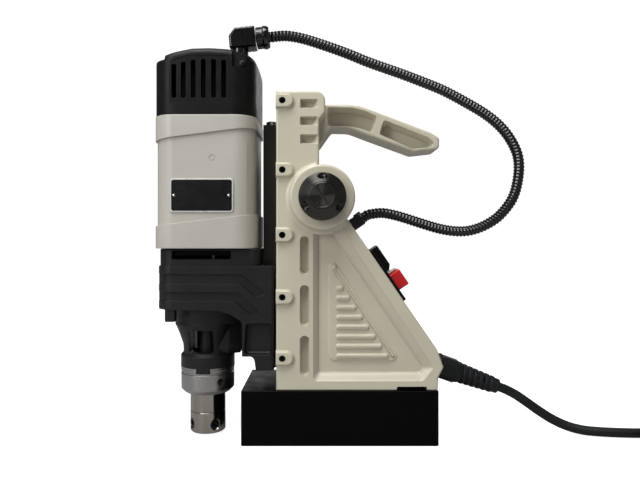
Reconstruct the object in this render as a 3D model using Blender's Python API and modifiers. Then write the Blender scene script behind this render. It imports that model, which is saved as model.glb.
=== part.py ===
"""A magnetic drill press: an electromagnet base, a cast frame, and a motor carriage on a dovetail slide.

Sizes are in millimetres and MM turns them into Blender's metres. +X runs from the spindle side to the
rear, +Y away from the side with the feed hub, +Z up. The origin is the centre of the magnet's face.
"""
import math

import bmesh
import bpy
from mathutils import Euler, Matrix, Vector

MM = 0.001
GAP = 0.3                    # clearance between pieces that touch

# electromagnet
MAGNET_HALF_LENGTH = 85
MAGNET_HALF_WIDTH = 42
MAGNET_HEIGHT = 47.5
COIL_X = 41                  # distance of each winding from the middle
COIL_SIZE = (32, 30)         # half sizes of a winding groove
POLE_SIZE = (18, 16)         # half sizes of the pole inside it
GROOVE_DEPTH = 34
POTTING_DEPTH = 3.6

# frame
COLUMN_FRONT = -54.7
COLUMN_BACK = -17.8
COLUMN_HEAD = -12.5          # the back of the column's head, above the handle
COLUMN_TOP = 305
FRAME_BASE = MAGNET_HEIGHT + GAP
HALF_WIDTH = 42
SLOPE_TOP = (COLUMN_HEAD, 223)
SLOPE_ANGLE = math.radians(55.55)
SLOPE_LENGTH = 170.2
HEEL = (89.3, 67.6)
RECESS_DEPTH = 5
CAVITY_HALF = 31
RIBS = 8
RIB_PITCH = 8.37
RIB_HEIGHT = 4.8
RIB_TOP = 135.1

# dovetail slide: the flanks widen towards the column
SLIDE_FRONT = -67.8
SLIDE_BACK = -56
DOVETAIL_BACK = -41
DOVETAIL_NECK = 12
DOVETAIL_FOOT = 19
SLIDE_BOTTOM = 63
SLIDE_TOP = 280
SLIDE_HALF = 20
GIB_THICKNESS = 2.4
GIB_SCREW_X = -49.2
GIB_SCREW_RADIUS = 2.7
LUG_PROUD = 3.6
GIB_SCREW_HEIGHTS = (296.2, 237, 181.3, 128.1, 75.8)

# feed: a pinion on the hub's shaft drives a rack on the slide
FEED_X = -15
FEED_Z = 213
FEED_MODULE = 1.5
FEED_TEETH = 14
FEED_RADIUS = FEED_MODULE * FEED_TEETH / 2
BOSS_RADIUS = 28
BOSS_NEAR = -55
BOSS_FAR = 46
SHAFT_RADIUS = 8
RACK_BOTTOM = 94

# gear train: motor pinion 9 to 36, lay pinion 10 to 30
SPINDLE_X = -121
LAY_X = -93
MOTOR_X = -115.5
MOTOR_PINION = 9
LAY_WHEEL = 36
LAY_PINION = 10
SPINDLE_WHEEL = 30
FINE_MODULE = 1
COARSE_MODULE = 1.4

# gear case and motor
CASE_TOP = 169.3
CASE_SHELF = 116
CASE_BOTTOM = 104
CASE_WALL = 5
CASE_HALF = 38
SUMP_RADII = (30, 16)        # round the spindle, and round the lay shaft
LAY_BOSS_RADIUS = 10
LUG_TOP = 154.5
BEARING_SEAT = 16.9
MOTOR_HALF = 43.5
BAND_PROUD = 1.2
MOTOR_WALL = 4
SHROUD_BOTTOM = CASE_TOP + GAP
SHROUD_TOP = 284.4
CAP_TOP = 345
VENTS = 6
VENT_PITCH = 8.55

# spindle nose
NECK_RADIUS = 22
COLLAR_RADIUS = 24.5
RING_RADIUS = 24.3
ARBOR_RADIUS = 16
SOCKET_RADIUS = 9.6
ARBOR_BOTTOM = 1.6

# conduit and mains lead
CONDUIT_RADIUS = 5
LEAD_RADIUS = 4.25
LEAD_ROOT = Vector((86, 0, 63.2))
LEAD_DIRECTION = Vector((62, 0, -22.2)).normalized()
RELIEF_LENGTH = 65.8
COIL_CENTRE = (320, -75)
COIL_RADII = (30.3, 64.7)
COIL_HEIGHT = 17.3
PLUG_ENTRY = Vector((337, -115.5, 36.7))

CREAM = (0.52, 0.48, 0.38)
BLACK = (0.02, 0.02, 0.02)
STEEL = (0.62, 0.62, 0.64)
COPPER = (0.55, 0.22, 0.08)
BRONZE = (0.45, 0.30, 0.12)


# ---------------------------------------------------------------- scene and helpers

def clear_scene():
    for item in list(bpy.data.objects):
        bpy.data.objects.remove(item, do_unlink=True)


def new_collection(name):
    collection = bpy.data.collections.new(name)
    bpy.context.scene.collection.children.link(collection)
    return collection


clear_scene()
PARTS = new_collection("magnetic_drill_press")
CUTTERS = new_collection("cutters")


def material(name, colour, roughness, metallic=0.0):
    made = bpy.data.materials.new(name)
    made.use_nodes = True
    shader = made.node_tree.nodes["Principled BSDF"]
    shader.inputs["Base Color"].default_value = (*colour, 1)
    shader.inputs["Roughness"].default_value = roughness
    shader.inputs["Metallic"].default_value = metallic
    return made


def add_object(name, data, centre=(0, 0, 0), rotation=(0, 0, 0)):
    made = bpy.data.objects.new(name, data)
    made.location = Vector(centre) * MM
    made.rotation_euler = rotation
    PARTS.objects.link(made)
    return made


def mesh_object(name, bm, centre=(0, 0, 0), rotation=(0, 0, 0)):
    mesh = bpy.data.meshes.new(name)
    bm.to_mesh(mesh)
    bm.free()
    return add_object(name, mesh, centre, rotation)


def box(name, low, high):
    """A box between two corners."""
    low, high = Vector(low), Vector(high)
    bm = bmesh.new()
    bmesh.ops.create_cube(bm, size=1)
    bmesh.ops.scale(bm, vec=(high - low) * MM, verts=bm.verts)
    return mesh_object(name, bm, (low + high) / 2)


def along(direction):
    """The rotation that turns local +Z to a direction."""
    return Vector((0, 0, 1)).rotation_difference(Vector(direction)).to_euler()


def cylinder(name, radius, start, end, end_radius=None, segments=24):
    """A cylinder or a cone from one point to another."""
    start, end = Vector(start), Vector(end)
    last = radius if end_radius is None else end_radius
    bm = bmesh.new()
    bmesh.ops.create_cone(bm, cap_ends=True, segments=segments, radius1=radius * MM,
                          radius2=last * MM, depth=(end - start).length * MM)
    made = mesh_object(name, bm, (start + end) / 2, along(end - start))
    smooth(made)
    return made


def smooth(made):
    made.data.shade_smooth()
    made.data.set_sharp_from_angle(angle=math.radians(35))


def turned(name, profile, base=(0, 0, 0), axis=(0, 0, 1), steps=24):
    """A turned piece: (radius, height) pairs that run top to bottom down the outer side.

    A profile that doesn't begin and end on the axis is a closed loop, which makes a ring.
    """
    bm = bmesh.new()
    rim = [bm.verts.new((radius * MM, 0, height * MM)) for radius, height in profile]
    for first, second in zip(rim, rim[1:]):
        bm.edges.new((first, second))
    if profile[0][0] > 0:
        bm.edges.new((rim[-1], rim[0]))
    made = mesh_object(name, bm, base, along(axis))
    screw = made.modifiers.new("turn", "SCREW")
    screw.axis = "Z"
    screw.steps = steps
    screw.render_steps = steps
    screw.use_merge_vertices = True
    screw.merge_threshold = 0.00002
    screw.use_smooth_shade = True
    return made


def arc_corner(before, corner, after, radius):
    """The points that round one corner of an outline, more of them on a larger radius."""
    steps = 1 if radius < 3.5 else 2 if radius < 9 else 5
    corner = Vector(corner)
    to_before = (Vector(before) - corner).normalized()
    to_after = (Vector(after) - corner).normalized()
    half = to_before.angle(to_after) / 2
    centre = corner + (to_before + to_after).normalized() * radius / math.sin(half)
    start = corner + to_before * radius / math.tan(half) - centre
    end = corner + to_after * radius / math.tan(half) - centre
    swing = start.angle_signed(end)
    points = []
    for step in range(steps + 1):
        points.append(centre + Matrix.Rotation(-swing * step / steps, 2) @ start)
    return points


def outline(points):
    """Corner points as vectors; a third number rounds that corner."""
    result = []
    for index, point in enumerate(points):
        if len(point) == 2:
            result.append(Vector(point))
            continue
        before = points[index - 1][:2]
        after = points[(index + 1) % len(points)][:2]
        result.extend(arc_corner(before, point[:2], after, point[2]))
    return result


def rectangle(centre, half_sizes, radius):
    """A rectangle with rounded corners."""
    x, y = centre
    across, up = half_sizes
    corners = [(x - across, y - up), (x + across, y - up), (x + across, y + up), (x - across, y + up)]
    return [(*corner, radius) for corner in corners]


PLANES = {
    "Z": (0, 0, 0),
    "Y": (math.pi / 2, 0, 0),
    "X": (math.pi / 2, 0, math.pi / 2),
}


def plate(name, outlines, start, end, axis="Z"):
    """A flat outline made solid from start to end along an axis; the later outlines are holes.

    The outline's two directions are X and Y for axis Z, X and Z for axis Y, and Y and Z for axis X.
    """
    curve = bpy.data.curves.new(name, "CURVE")
    curve.dimensions = "2D"
    curve.fill_mode = "BOTH"
    curve.extrude = abs(end - start) / 2 * MM
    for corners in outlines:
        points = outline(corners)
        spline = curve.splines.new("POLY")
        spline.points.add(len(points) - 1)
        for target, point in zip(spline.points, points):
            target.co = (point.x * MM, point.y * MM, 0, 1)
        spline.use_cyclic_u = True
    centre = [0, 0, 0]
    centre["XYZ".index(axis)] = (start + end) / 2
    return as_mesh(add_object(name + "_curve", curve, centre, PLANES[axis]), name)


def as_mesh(source, name):
    """A curve object turned into a closed mesh object in the same place."""
    bpy.context.view_layer.update()
    evaluated = source.evaluated_get(bpy.context.evaluated_depsgraph_get())
    mesh = bpy.data.meshes.new_from_object(evaluated)
    bm = bmesh.new()
    bm.from_mesh(mesh)
    bmesh.ops.remove_doubles(bm, verts=bm.verts, dist=0.000001)
    bmesh.ops.recalc_face_normals(bm, faces=bm.faces)
    bm.to_mesh(mesh)
    bm.free()
    made = bpy.data.objects.new(name, mesh)
    made.matrix_world = source.matrix_world.copy()
    PARTS.objects.link(made)
    bpy.data.objects.remove(source, do_unlink=True)
    return made


def tube(name, points, radius, resolution=2):
    """A round tube along a line of points."""
    curve = bpy.data.curves.new(name, "CURVE")
    curve.dimensions = "3D"
    curve.bevel_depth = radius * MM
    curve.bevel_resolution = resolution
    curve.use_fill_caps = True
    spline = curve.splines.new("POLY")
    spline.points.add(len(points) - 1)
    for target, point in zip(spline.points, points):
        target.co = (*(Vector(point) * MM), 1)
    return as_mesh(add_object(name + "_curve", curve), name)


def smooth_line(points, steps):
    """Points on a smooth curve through the given ones."""
    points = [Vector(point) for point in points]
    padded = [2 * points[0] - points[1], *points, 2 * points[-1] - points[-2]]
    line = []
    for a, b, c, d in zip(padded, padded[1:], padded[2:], padded[3:]):
        for step in range(steps):
            t = step / steps
            line.append(0.5 * (2 * b + (c - a) * t + (2 * a - 5 * b + 4 * c - d) * t ** 2
                               + (3 * b - a - 3 * c + d) * t ** 3))
    return line + [points[-1]]


def boolean(target, tools, operation):
    for tool in tools:
        modifier = target.modifiers.new(tool.name, "BOOLEAN")
        modifier.operation = operation
        modifier.object = tool
        PARTS.objects.unlink(tool)
        CUTTERS.objects.link(tool)
        tool.hide_render = True
        tool.display_type = "WIRE"


def cut(target, *tools):
    boolean(target, tools, "DIFFERENCE")


def join(target, *tools):
    boolean(target, tools, "UNION")


def merged(name, pieces):
    """Several mesh objects as one tool with loose bodies, for a single Boolean."""
    bpy.context.view_layer.update()
    bm = bmesh.new()
    for piece in pieces:
        part = piece.data.copy()
        part.transform(piece.matrix_world)
        bm.from_mesh(part)
        bpy.data.objects.remove(piece, do_unlink=True)
    return mesh_object(name, bm)


def moving_frame(name, point):
    """The empty on a joint's axis that carries the joint's pieces."""
    empty = bpy.data.objects.new(name, None)
    empty.location = Vector(point) * MM
    PARTS.objects.link(empty)
    return empty


def carry(parent, *pieces):
    for piece in pieces:
        piece.parent = parent
        piece.matrix_parent_inverse = Matrix.Translation(-parent.location)


def paint(surface, *pieces):
    for piece in pieces:
        piece.data.materials.clear()
        piece.data.materials.append(surface)


def mirrored_pair(make, near, far):
    """The same recess cut on the near and the far side, by its start and end in Y."""
    return make(near, far), make(-far, -near)


# ---------------------------------------------------------------- the sloping rear face

SLOPE_DOWN = Vector((math.cos(SLOPE_ANGLE), 0, -math.sin(SLOPE_ANGLE)))
SLOPE_OUT = Vector((math.sin(SLOPE_ANGLE), 0, math.cos(SLOPE_ANGLE)))


def slope_point(down, out=0, y=0):
    """A place on the rear face: distance down from its top, and out from the face."""
    top = Vector((SLOPE_TOP[0], y, SLOPE_TOP[1]))
    return top + SLOPE_DOWN * down + SLOPE_OUT * out


def flat(point):
    return point.x, point.z


def slope_box(name, down, across, out):
    """A box on the rear face, between (start, end) pairs along the face, across it and out of it."""
    made = box(name, (down[0], across[0], out[0]), (down[1], across[1], out[1]))
    centre = made.location / MM
    made.location = slope_point(centre.x, centre.z, centre.y) * MM
    made.rotation_euler = Euler((0, SLOPE_ANGLE, 0))
    return made


# ---------------------------------------------------------------- gears

def gear_points(teeth, module, bore_phase=0.0):
    """A gear's outline round its centre, with straight-sided teeth; the phase is in tooth pitches."""
    pitch_radius = module * teeth / 2
    points = []
    tip_share, root_share = 0.10, 0.30
    for tooth in range(teeth):
        middle = (tooth + bore_phase) / teeth
        for radius, share in ((pitch_radius - 1.15 * module, -root_share),
                              (pitch_radius + 0.8 * module, -tip_share),
                              (pitch_radius + 0.8 * module, tip_share),
                              (pitch_radius - 1.15 * module, root_share)):
            angle = 2 * math.pi * (middle + share / teeth)
            points.append((radius * math.cos(angle), radius * math.sin(angle)))
    return points


def circle(radius, segments=20):
    return [(radius * math.cos(2 * math.pi * step / segments), radius * math.sin(2 * math.pi * step / segments))
            for step in range(segments)]


def shifted(points, x, y):
    return [(point[0] + x, point[1] + y) for point in points]


def gear(name, teeth, module, place, start, end, bore=0.0, phase=0.0):
    """A gear with an upright axis."""
    outlines = [shifted(gear_points(teeth, module, phase), *place)]
    if bore:
        outlines.append(shifted(circle(bore), *place))
    return plate(name, outlines, start, end)


# ---------------------------------------------------------------- electromagnet

def make_magnet(black, copper, resin):
    body = box("magnet_body", (-MAGNET_HALF_LENGTH, -MAGNET_HALF_WIDTH, 0),
               (MAGNET_HALF_LENGTH, MAGNET_HALF_WIDTH, MAGNET_HEIGHT))
    edge = body.modifiers.new("edge", "BEVEL")
    edge.width = 1.0 * MM
    edge.segments = 1
    paint(black, body)
    for side, place in (("front", -COIL_X), ("rear", COIL_X)):
        groove = winding("groove_" + side, place, 0, -2, GROOVE_DEPTH)
        cut(body, groove)
        paint(copper, winding("magnet_coil_" + side, place, GAP, POTTING_DEPTH + GAP, GROOVE_DEPTH - GAP))
        paint(resin, winding("potting_" + side, place, GAP, 0.5, POTTING_DEPTH))


def winding(name, place, gap, bottom, top):
    """A rectangular ring round one pole."""
    outer = rectangle((place, 0), (COIL_SIZE[0] - gap, COIL_SIZE[1] - gap), 8)
    inner = rectangle((place, 0), (POLE_SIZE[0] + gap, POLE_SIZE[1] + gap), 4)
    return plate(name, [outer, inner], bottom, top)


# ---------------------------------------------------------------- frame casting

def flank(x):
    """Half width of the dovetail at a distance along X."""
    slope = (DOVETAIL_FOOT - DOVETAIL_NECK) / (DOVETAIL_BACK - SLIDE_BACK)
    return DOVETAIL_NECK + slope * (x - SLIDE_BACK)


def frame_body():
    corner = slope_point(SLOPE_LENGTH)
    body = plate("frame_casting", [[
        (COLUMN_FRONT, FRAME_BASE), (84.2, FRAME_BASE), (84.8, 58.9), HEEL, flat(corner),
        SLOPE_TOP, (COLUMN_BACK, 232), (COLUMN_BACK, 281), (COLUMN_HEAD, 286.5),
        (COLUMN_HEAD, COLUMN_TOP, 8), (COLUMN_FRONT, COLUMN_TOP, 2),
    ]], -HALF_WIDTH, HALF_WIDTH, "Y")
    boss = cylinder("feed_boss", BOSS_RADIUS, (FEED_X, BOSS_NEAR, FEED_Z), (FEED_X, BOSS_FAR, FEED_Z),
                    segments=32)
    lugs = merged("screw_lugs", [screw_lug(height) for height in GIB_SCREW_HEIGHTS])
    join(body, boss, lugs)
    return body


def screw_lug(height):
    half = 6
    points = [(COLUMN_FRONT, height - half), (-39.3, height - half, half - 0.1),
              (-39.3, height + half, half - 0.1), (COLUMN_FRONT, height + half)]
    return plate("screw_lug", [points], -HALF_WIDTH - LUG_PROUD, -HALF_WIDTH + 2, "Y")


def slide_channel():
    """The dovetail way, with room for the gib strip on its near side."""
    mouth, back = -60, DOVETAIL_BACK + 0.4
    far_gap = 0.35
    near_gap = GIB_THICKNESS + 0.8
    return plate("slide_channel", [[
        (mouth, -flank(mouth) - near_gap), (back, -flank(back) - near_gap),
        (back, flank(back) + far_gap), (mouth, flank(mouth) + far_gap),
    ]], FRAME_BASE - 5, COLUMN_TOP + 5)


def screw_hole(height):
    return cylinder("gib_hole", GIB_SCREW_RADIUS + 0.4, (GIB_SCREW_X, -HALF_WIDTH - 10, height),
                    (GIB_SCREW_X, -15, height), segments=12)


def cut_guides(body):
    rack_way = box("rack_way", (DOVETAIL_BACK - 2, -9, FRAME_BASE - 5), (-23.5, 9, COLUMN_TOP + 5))
    pinion_room = cylinder("pinion_room", 12.8, (FEED_X, -9, FEED_Z), (FEED_X, 9, FEED_Z))
    shaft_bore = cylinder("shaft_bore", SHAFT_RADIUS + 0.4, (FEED_X, BOSS_NEAR - 5, FEED_Z),
                          (FEED_X, BOSS_FAR + 5, FEED_Z))
    near_seat = cylinder("near_seat", 11.3, (FEED_X, BOSS_NEAR - 5, FEED_Z), (FEED_X, -38, FEED_Z))
    far_seat = cylinder("far_seat", 11.3, (FEED_X, 30, FEED_Z), (FEED_X, BOSS_FAR + 5, FEED_Z))
    cut(body, slide_channel(), rack_way, pinion_room, shaft_bore, near_seat, far_seat)
    cut(body, merged("gib_holes", [screw_hole(height) for height in GIB_SCREW_HEIGHTS]))


def cut_cavity(body):
    """The hollow for the wiring, open at the sloping rear face."""
    cavity = plate("cavity", [[
        (-8, 54), (76, 54), (79, 68), flat(slope_point(164, -6)), flat(slope_point(32, -6)), (-8, 186),
    ]], -CAVITY_HALF, CAVITY_HALF, "Y")
    opening = slope_box("opening", (60, 160), (-26, 26), (-14, 5))
    seat = slope_box("cover_seat", (55, 165), (-30, 30), (-3.3, 5))
    wire_hole = cylinder("wire_hole", 4.6, slope_point(41, -14), slope_point(41, 5), segments=20)
    lead_hole = cylinder("lead_hole", 7, LEAD_ROOT - LEAD_DIRECTION * 20, LEAD_ROOT + LEAD_DIRECTION * 10,
                         segments=20)
    strap_notch = box("strap_notch", (49, -60, FRAME_BASE - 5), (75, 60, FRAME_BASE + 3.6))
    cut(body, cavity, opening, seat, wire_hole, lead_hole, strap_notch)


def side_recess(start, end):
    return plate("side_recess", [[
        (-19.7, 58.7, 3), (70, 58.7, 3), (72.2, 65.9), (-3.4, 181.5, 3), (-19.7, 181.5, 3),
    ]], start, end, "Y")


def side_slots(start, end):
    pieces = []
    for low, high in ((290.7, 297.8), (276, 282.5), (260.6, 267.2)):
        pieces.append(plate("louvre", [rectangle((-26.1, (low + high) / 2), (7.6, (high - low) / 2), 2.5)],
                            start, end, "Y"))
    for low, high in ((147, 180.3), (102.9, 138.2), (60.2, 94.8)):
        pieces.append(plate("slot", [rectangle((-30.3, (low + high) / 2), (3.9, (high - low) / 2), 2)],
                            start, end, "Y"))
    return merged("side_slots", pieces)


def side_ribs(start, end):
    """The raised triangle's horizontal ribs, one longer than the other going down."""
    ribs = []
    for index in range(RIBS):
        height = RIB_TOP - index * RIB_PITCH
        length = 7 + 5.55 * index
        ribs.append(box("rib", (-3.3, start, height - RIB_HEIGHT / 2),
                        (-3.3 + length, end, height + RIB_HEIGHT / 2)))
    return merged("side_ribs", ribs)


def cut_sides(body):
    near, far = mirrored_pair(side_recess, -HALF_WIDTH - 5, -HALF_WIDTH + RECESS_DEPTH)
    cut(body, near, far)
    near, far = mirrored_pair(side_slots, -HALF_WIDTH - 5, -HALF_WIDTH + 4)
    cut(body, near, far)
    near, far = mirrored_pair(side_ribs, -HALF_WIDTH + 2.5, -HALF_WIDTH + RECESS_DEPTH + 1)
    join(body, near, far)


def make_frame(cream):
    body = frame_body()
    cut_sides(body)
    cut_guides(body)
    cut_cavity(body)
    paint(cream, body)


def make_handle(cream):
    """The open-ended carrying handle behind the column, with two pockets in each side."""
    root = COLUMN_BACK + GAP
    handle = plate("carry_handle", [[
        (root, 262.5), (-8.7, 273.5), (-6, 278), (9.4, 277.7), (28.6, 270.4), (67.6, 256.2), (90.8, 258.5, 5),
        (90.8, 270.3, 5), (82.3, 274.4), (29.1, 294.6), (18.5, 298.3), (7.9, 299.5), (COLUMN_HEAD + GAP, 299.5),
        (COLUMN_HEAD + GAP, 286.2), (root, 280.7),
    ]], -16.5, 16.5, "Y")

    def pockets(start, end):
        front = plate("pocket_front", [[
            (-10.4, 279.6, 3), (7.9, 279.2), (18.5, 278.1), (30, 274, 2), (33.9, 288.8, 3), (23.8, 293),
            (13.2, 295.7), (-10.4, 296, 3),
        ]], start, end, "Y")
        rear = plate("pocket_rear", [[
            (36.8, 272.6, 2), (67.4, 258.5), (83.2, 260.4, 2), (85.5, 264.8, 2), (80.2, 269.2), (40.8, 284.5, 3),
        ]], start, end, "Y")
        return merged("pockets", [front, rear])

    near, far = mirrored_pair(pockets, -22, -10.5)
    cut(handle, near, far)
    paint(cream, handle)


def make_gibs(black, steel):
    near, far = -54.2, -41.2
    inner, outer = 0.4, 0.4 + GIB_THICKNESS
    strip = plate("gib_strip", [[
        (near, -flank(near) - outer), (far, -flank(far) - outer),
        (far, -flank(far) - inner), (near, -flank(near) - inner),
    ]], 52, 300)
    paint(steel, strip)
    tip = -flank(GIB_SCREW_X + 4) - outer - GAP
    for number, height in enumerate(GIB_SCREW_HEIGHTS, 1):
        head = -HALF_WIDTH - LUG_PROUD + 1
        screw = cylinder("gib_screw_%d" % number, GIB_SCREW_RADIUS, (GIB_SCREW_X, head, height),
                         (GIB_SCREW_X, tip, height), segments=12)
        socket = cylinder("gib_socket_%d" % number, 1.6, (GIB_SCREW_X, head - 4, height),
                          (GIB_SCREW_X, head + 3, height), segments=6)
        cut(screw, socket)
        paint(black, screw)


# ---------------------------------------------------------------- rear cover and switches

PANEL = (68, 122.4)
PANEL_OUT = 3.6
ROCKER_DOWN = 80.2
ROCKER_OUT = 7.7
BUTTON = (96.6, 112.8)


def make_rear(cream, black, board_green):
    cover = slope_box("rear_cover", (55.3, 164.7), (-29.7, 29.7), (-3, 0))
    window = slope_box("cover_window", (72.4, 118), (-21.5, 21.5), (-10, 5))
    cut(cover, window)
    paint(cream, cover)
    panel = slope_box("switch_panel", PANEL, (-25, 25), (GAP, PANEL_OUT))
    windows = merged("panel_windows", [
        slope_box("rocker_window", (72, 88.4), (-11, 11), (-5, 8)),
        slope_box("stop_window", (BUTTON[0] - 0.6, BUTTON[1] + 0.6), (-20.6, -1.4), (-5, 8)),
        slope_box("start_window", (BUTTON[0] - 0.6, BUTTON[1] + 0.6), (1.4, 20.6), (-5, 8)),
    ])
    cut(panel, windows)
    paint(black, panel)
    board = box("control_board", (-4, 12, 60), (44, 13.6, 118))
    join(board, box("transformer", (2, -6, 66), (30, 13, 88)), box("relay", (4, 0, 95), (18, 13, 112)))
    paint(board_green, board)


def make_switches(black, red, green, pale):
    block = slope_box("switch_block", (69, 93.5), (-13, 13), (PANEL_OUT + GAP, 10.2))
    cut(block, slope_box("rocker_room", (72.9, 87.5), (-10, 10), (-5, 15)))
    paint(black, block)
    rocker_frame = moving_frame("rocker_axis", slope_point(ROCKER_DOWN, ROCKER_OUT))
    rocker = plate("magnet_rocker", [[(-6.3, -3.2), (6.3, -3.2), (6.3, 3.3), (0, 1.9), (-6, 5.1)]],
                   -9, 9, "Y")
    rocker.rotation_euler = Euler((math.pi / 2, SLOPE_ANGLE, 0))
    rocker.location = slope_point(ROCKER_DOWN, ROCKER_OUT) * MM
    carry(rocker_frame, rocker)
    paint(pale, rocker)
    for name, surface, across, height in (("stop_button", red, (-20, -2), 14),
                                          ("start_button", green, (2, 20), 9.5)):
        axis = moving_frame(name + "_axis", slope_point(sum(BUTTON) / 2, 2, sum(across) / 2))
        button = slope_box(name, BUTTON, across, (-4, height))
        edge = button.modifiers.new("edge", "BEVEL")
        edge.width = 1.2 * MM
        edge.segments = 2
        carry(axis, button)
        paint(surface, button)


# ---------------------------------------------------------------- feed hub and shaft

def make_feed(black, steel, bronze):
    axis = moving_frame("feed_axis", (FEED_X, 0, FEED_Z))
    shaft = turned("feed_shaft", [(0, 115), (SHAFT_RADIUS, 115), (SHAFT_RADIUS, 0), (0, 0)],
                   (FEED_X, 44.5, FEED_Z), (0, -1, 0), 24)
    pinion = plate("feed_pinion", [shifted(gear_points(FEED_TEETH, FEED_MODULE), FEED_X, FEED_Z)],
                   -7.5, 7.5, "Y")
    join(shaft, pinion)
    paint(steel, shaft)
    hub = turned("feed_hub", [
        (0, 17), (12.5, 17), (19.8, 8), (19.8, 0), (8.4, 0), (8.4, 16), (0, 16),
    ], (FEED_X, BOSS_NEAR - GAP, FEED_Z), (0, -1, 0))
    cut(hub, merged("spoke_holes", [spoke_hole(turn) for turn in range(3)]))
    paint(black, hub)
    cap = turned("hub_cap", [(0, 3), (9.7, 3), (10.7, 2), (10.7, 0), (0, 0)],
                 (FEED_X, BOSS_NEAR - 2 * GAP - 17, FEED_Z), (0, -1, 0), 28)
    paint(black, cap)
    carry(axis, shaft, hub, cap)
    for name, start, end in (("feed_bush_near", BOSS_NEAR + GAP, -38 - GAP),
                             ("feed_bush_far", 30 + GAP, BOSS_FAR - GAP)):
        length = end - start
        bush = turned(name, [(11, length), (11, 0), (SHAFT_RADIUS + 0.35, 0), (SHAFT_RADIUS + 0.35, length)],
                      (FEED_X, start, FEED_Z), (0, 1, 0), 28)
        paint(bronze, bush)
    cover = turned("feed_end_cap", [(0, 4), (18, 4), (20, 2), (20, 0), (0, 0)],
                   (FEED_X, BOSS_FAR + GAP, FEED_Z), (0, 1, 0), 32)
    paint(black, cover)


def spoke_hole(turn):
    """A threaded hole square to the hub's cone."""
    angle = math.pi / 2 + turn * 2 * math.pi / 3
    outward = Vector((math.cos(angle), 0, math.sin(angle)))
    mouth = Vector((FEED_X, BOSS_NEAR - GAP - 11, FEED_Z)) + outward * 15.6
    drill = (outward * 9 + Vector((0, -7.3, 0))).normalized()
    return cylinder("spoke_hole", 2.7, mouth + drill * 6, mouth - drill * 5.5, segments=16)


# ---------------------------------------------------------------- carriage

def make_slide(black, steel):
    slide = plate("slide_plate", [[
        (SLIDE_FRONT, -SLIDE_HALF), (SLIDE_BACK, -SLIDE_HALF), (SLIDE_BACK, -DOVETAIL_NECK),
        (DOVETAIL_BACK, -DOVETAIL_FOOT), (DOVETAIL_BACK, DOVETAIL_FOOT),
        (SLIDE_BACK, DOVETAIL_NECK), (SLIDE_BACK, SLIDE_HALF), (SLIDE_FRONT, SLIDE_HALF),
    ]], SLIDE_BOTTOM, SLIDE_TOP)
    cut(slide, cylinder("stop_hole", 2.9, (-61.9, 0, SLIDE_TOP - 12), (-61.9, 0, SLIDE_TOP + 5), segments=16))
    paint(black, slide)
    screw = turned("slide_stop_screw", [
        (0, 6), (4.6, 6), (5, 5.5), (5, 0), (2.5, 0), (2.5, -11), (0, -11),
    ], (-61.9, 0, SLIDE_TOP + GAP), steps=20)
    paint(steel, screw)
    return slide, screw


def make_rack(steel):
    """Teeth facing the pinion, one of its gaps level with the pinion's tooth."""
    pitch = math.pi * FEED_MODULE
    pitch_x = FEED_X - FEED_RADIUS
    root, tip = pitch_x - 1.15 * FEED_MODULE, pitch_x + 0.8 * FEED_MODULE
    below = math.ceil((FEED_Z - RACK_BOTTOM) / pitch)
    first = FEED_Z - (below + 0.5) * pitch
    count = below + 5
    points = [(DOVETAIL_BACK + GAP, first - pitch / 2), (root, first - pitch / 2)]
    for tooth in range(count):
        middle = first + (tooth + 0.5) * pitch - pitch / 2
        points += [(root, middle - 0.30 * pitch), (tip, middle - 0.12 * pitch),
                   (tip, middle + 0.12 * pitch), (root, middle + 0.30 * pitch)]
    top = first + count * pitch - pitch / 2
    points += [(root, top), (DOVETAIL_BACK + GAP, top)]
    rack = plate("feed_rack", [points], -7, 7, "Y")
    paint(steel, rack)
    return rack


def egg(first_radius, second_radius, steps=9):
    """The outline round two circles, one on the spindle's axis and one on the lay shaft's."""
    spread = math.acos((first_radius - second_radius) / (LAY_X - SPINDLE_X))
    points = []
    for step in range(2 * steps + 1):
        angle = spread + (2 * math.pi - 2 * spread) * step / (2 * steps)
        points.append((SPINDLE_X + first_radius * math.cos(angle), first_radius * math.sin(angle)))
    for step in range(steps + 1):
        angle = -spread + 2 * spread * step / steps
        points.append((LAY_X + second_radius * math.cos(angle), second_radius * math.sin(angle)))
    return points


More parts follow.
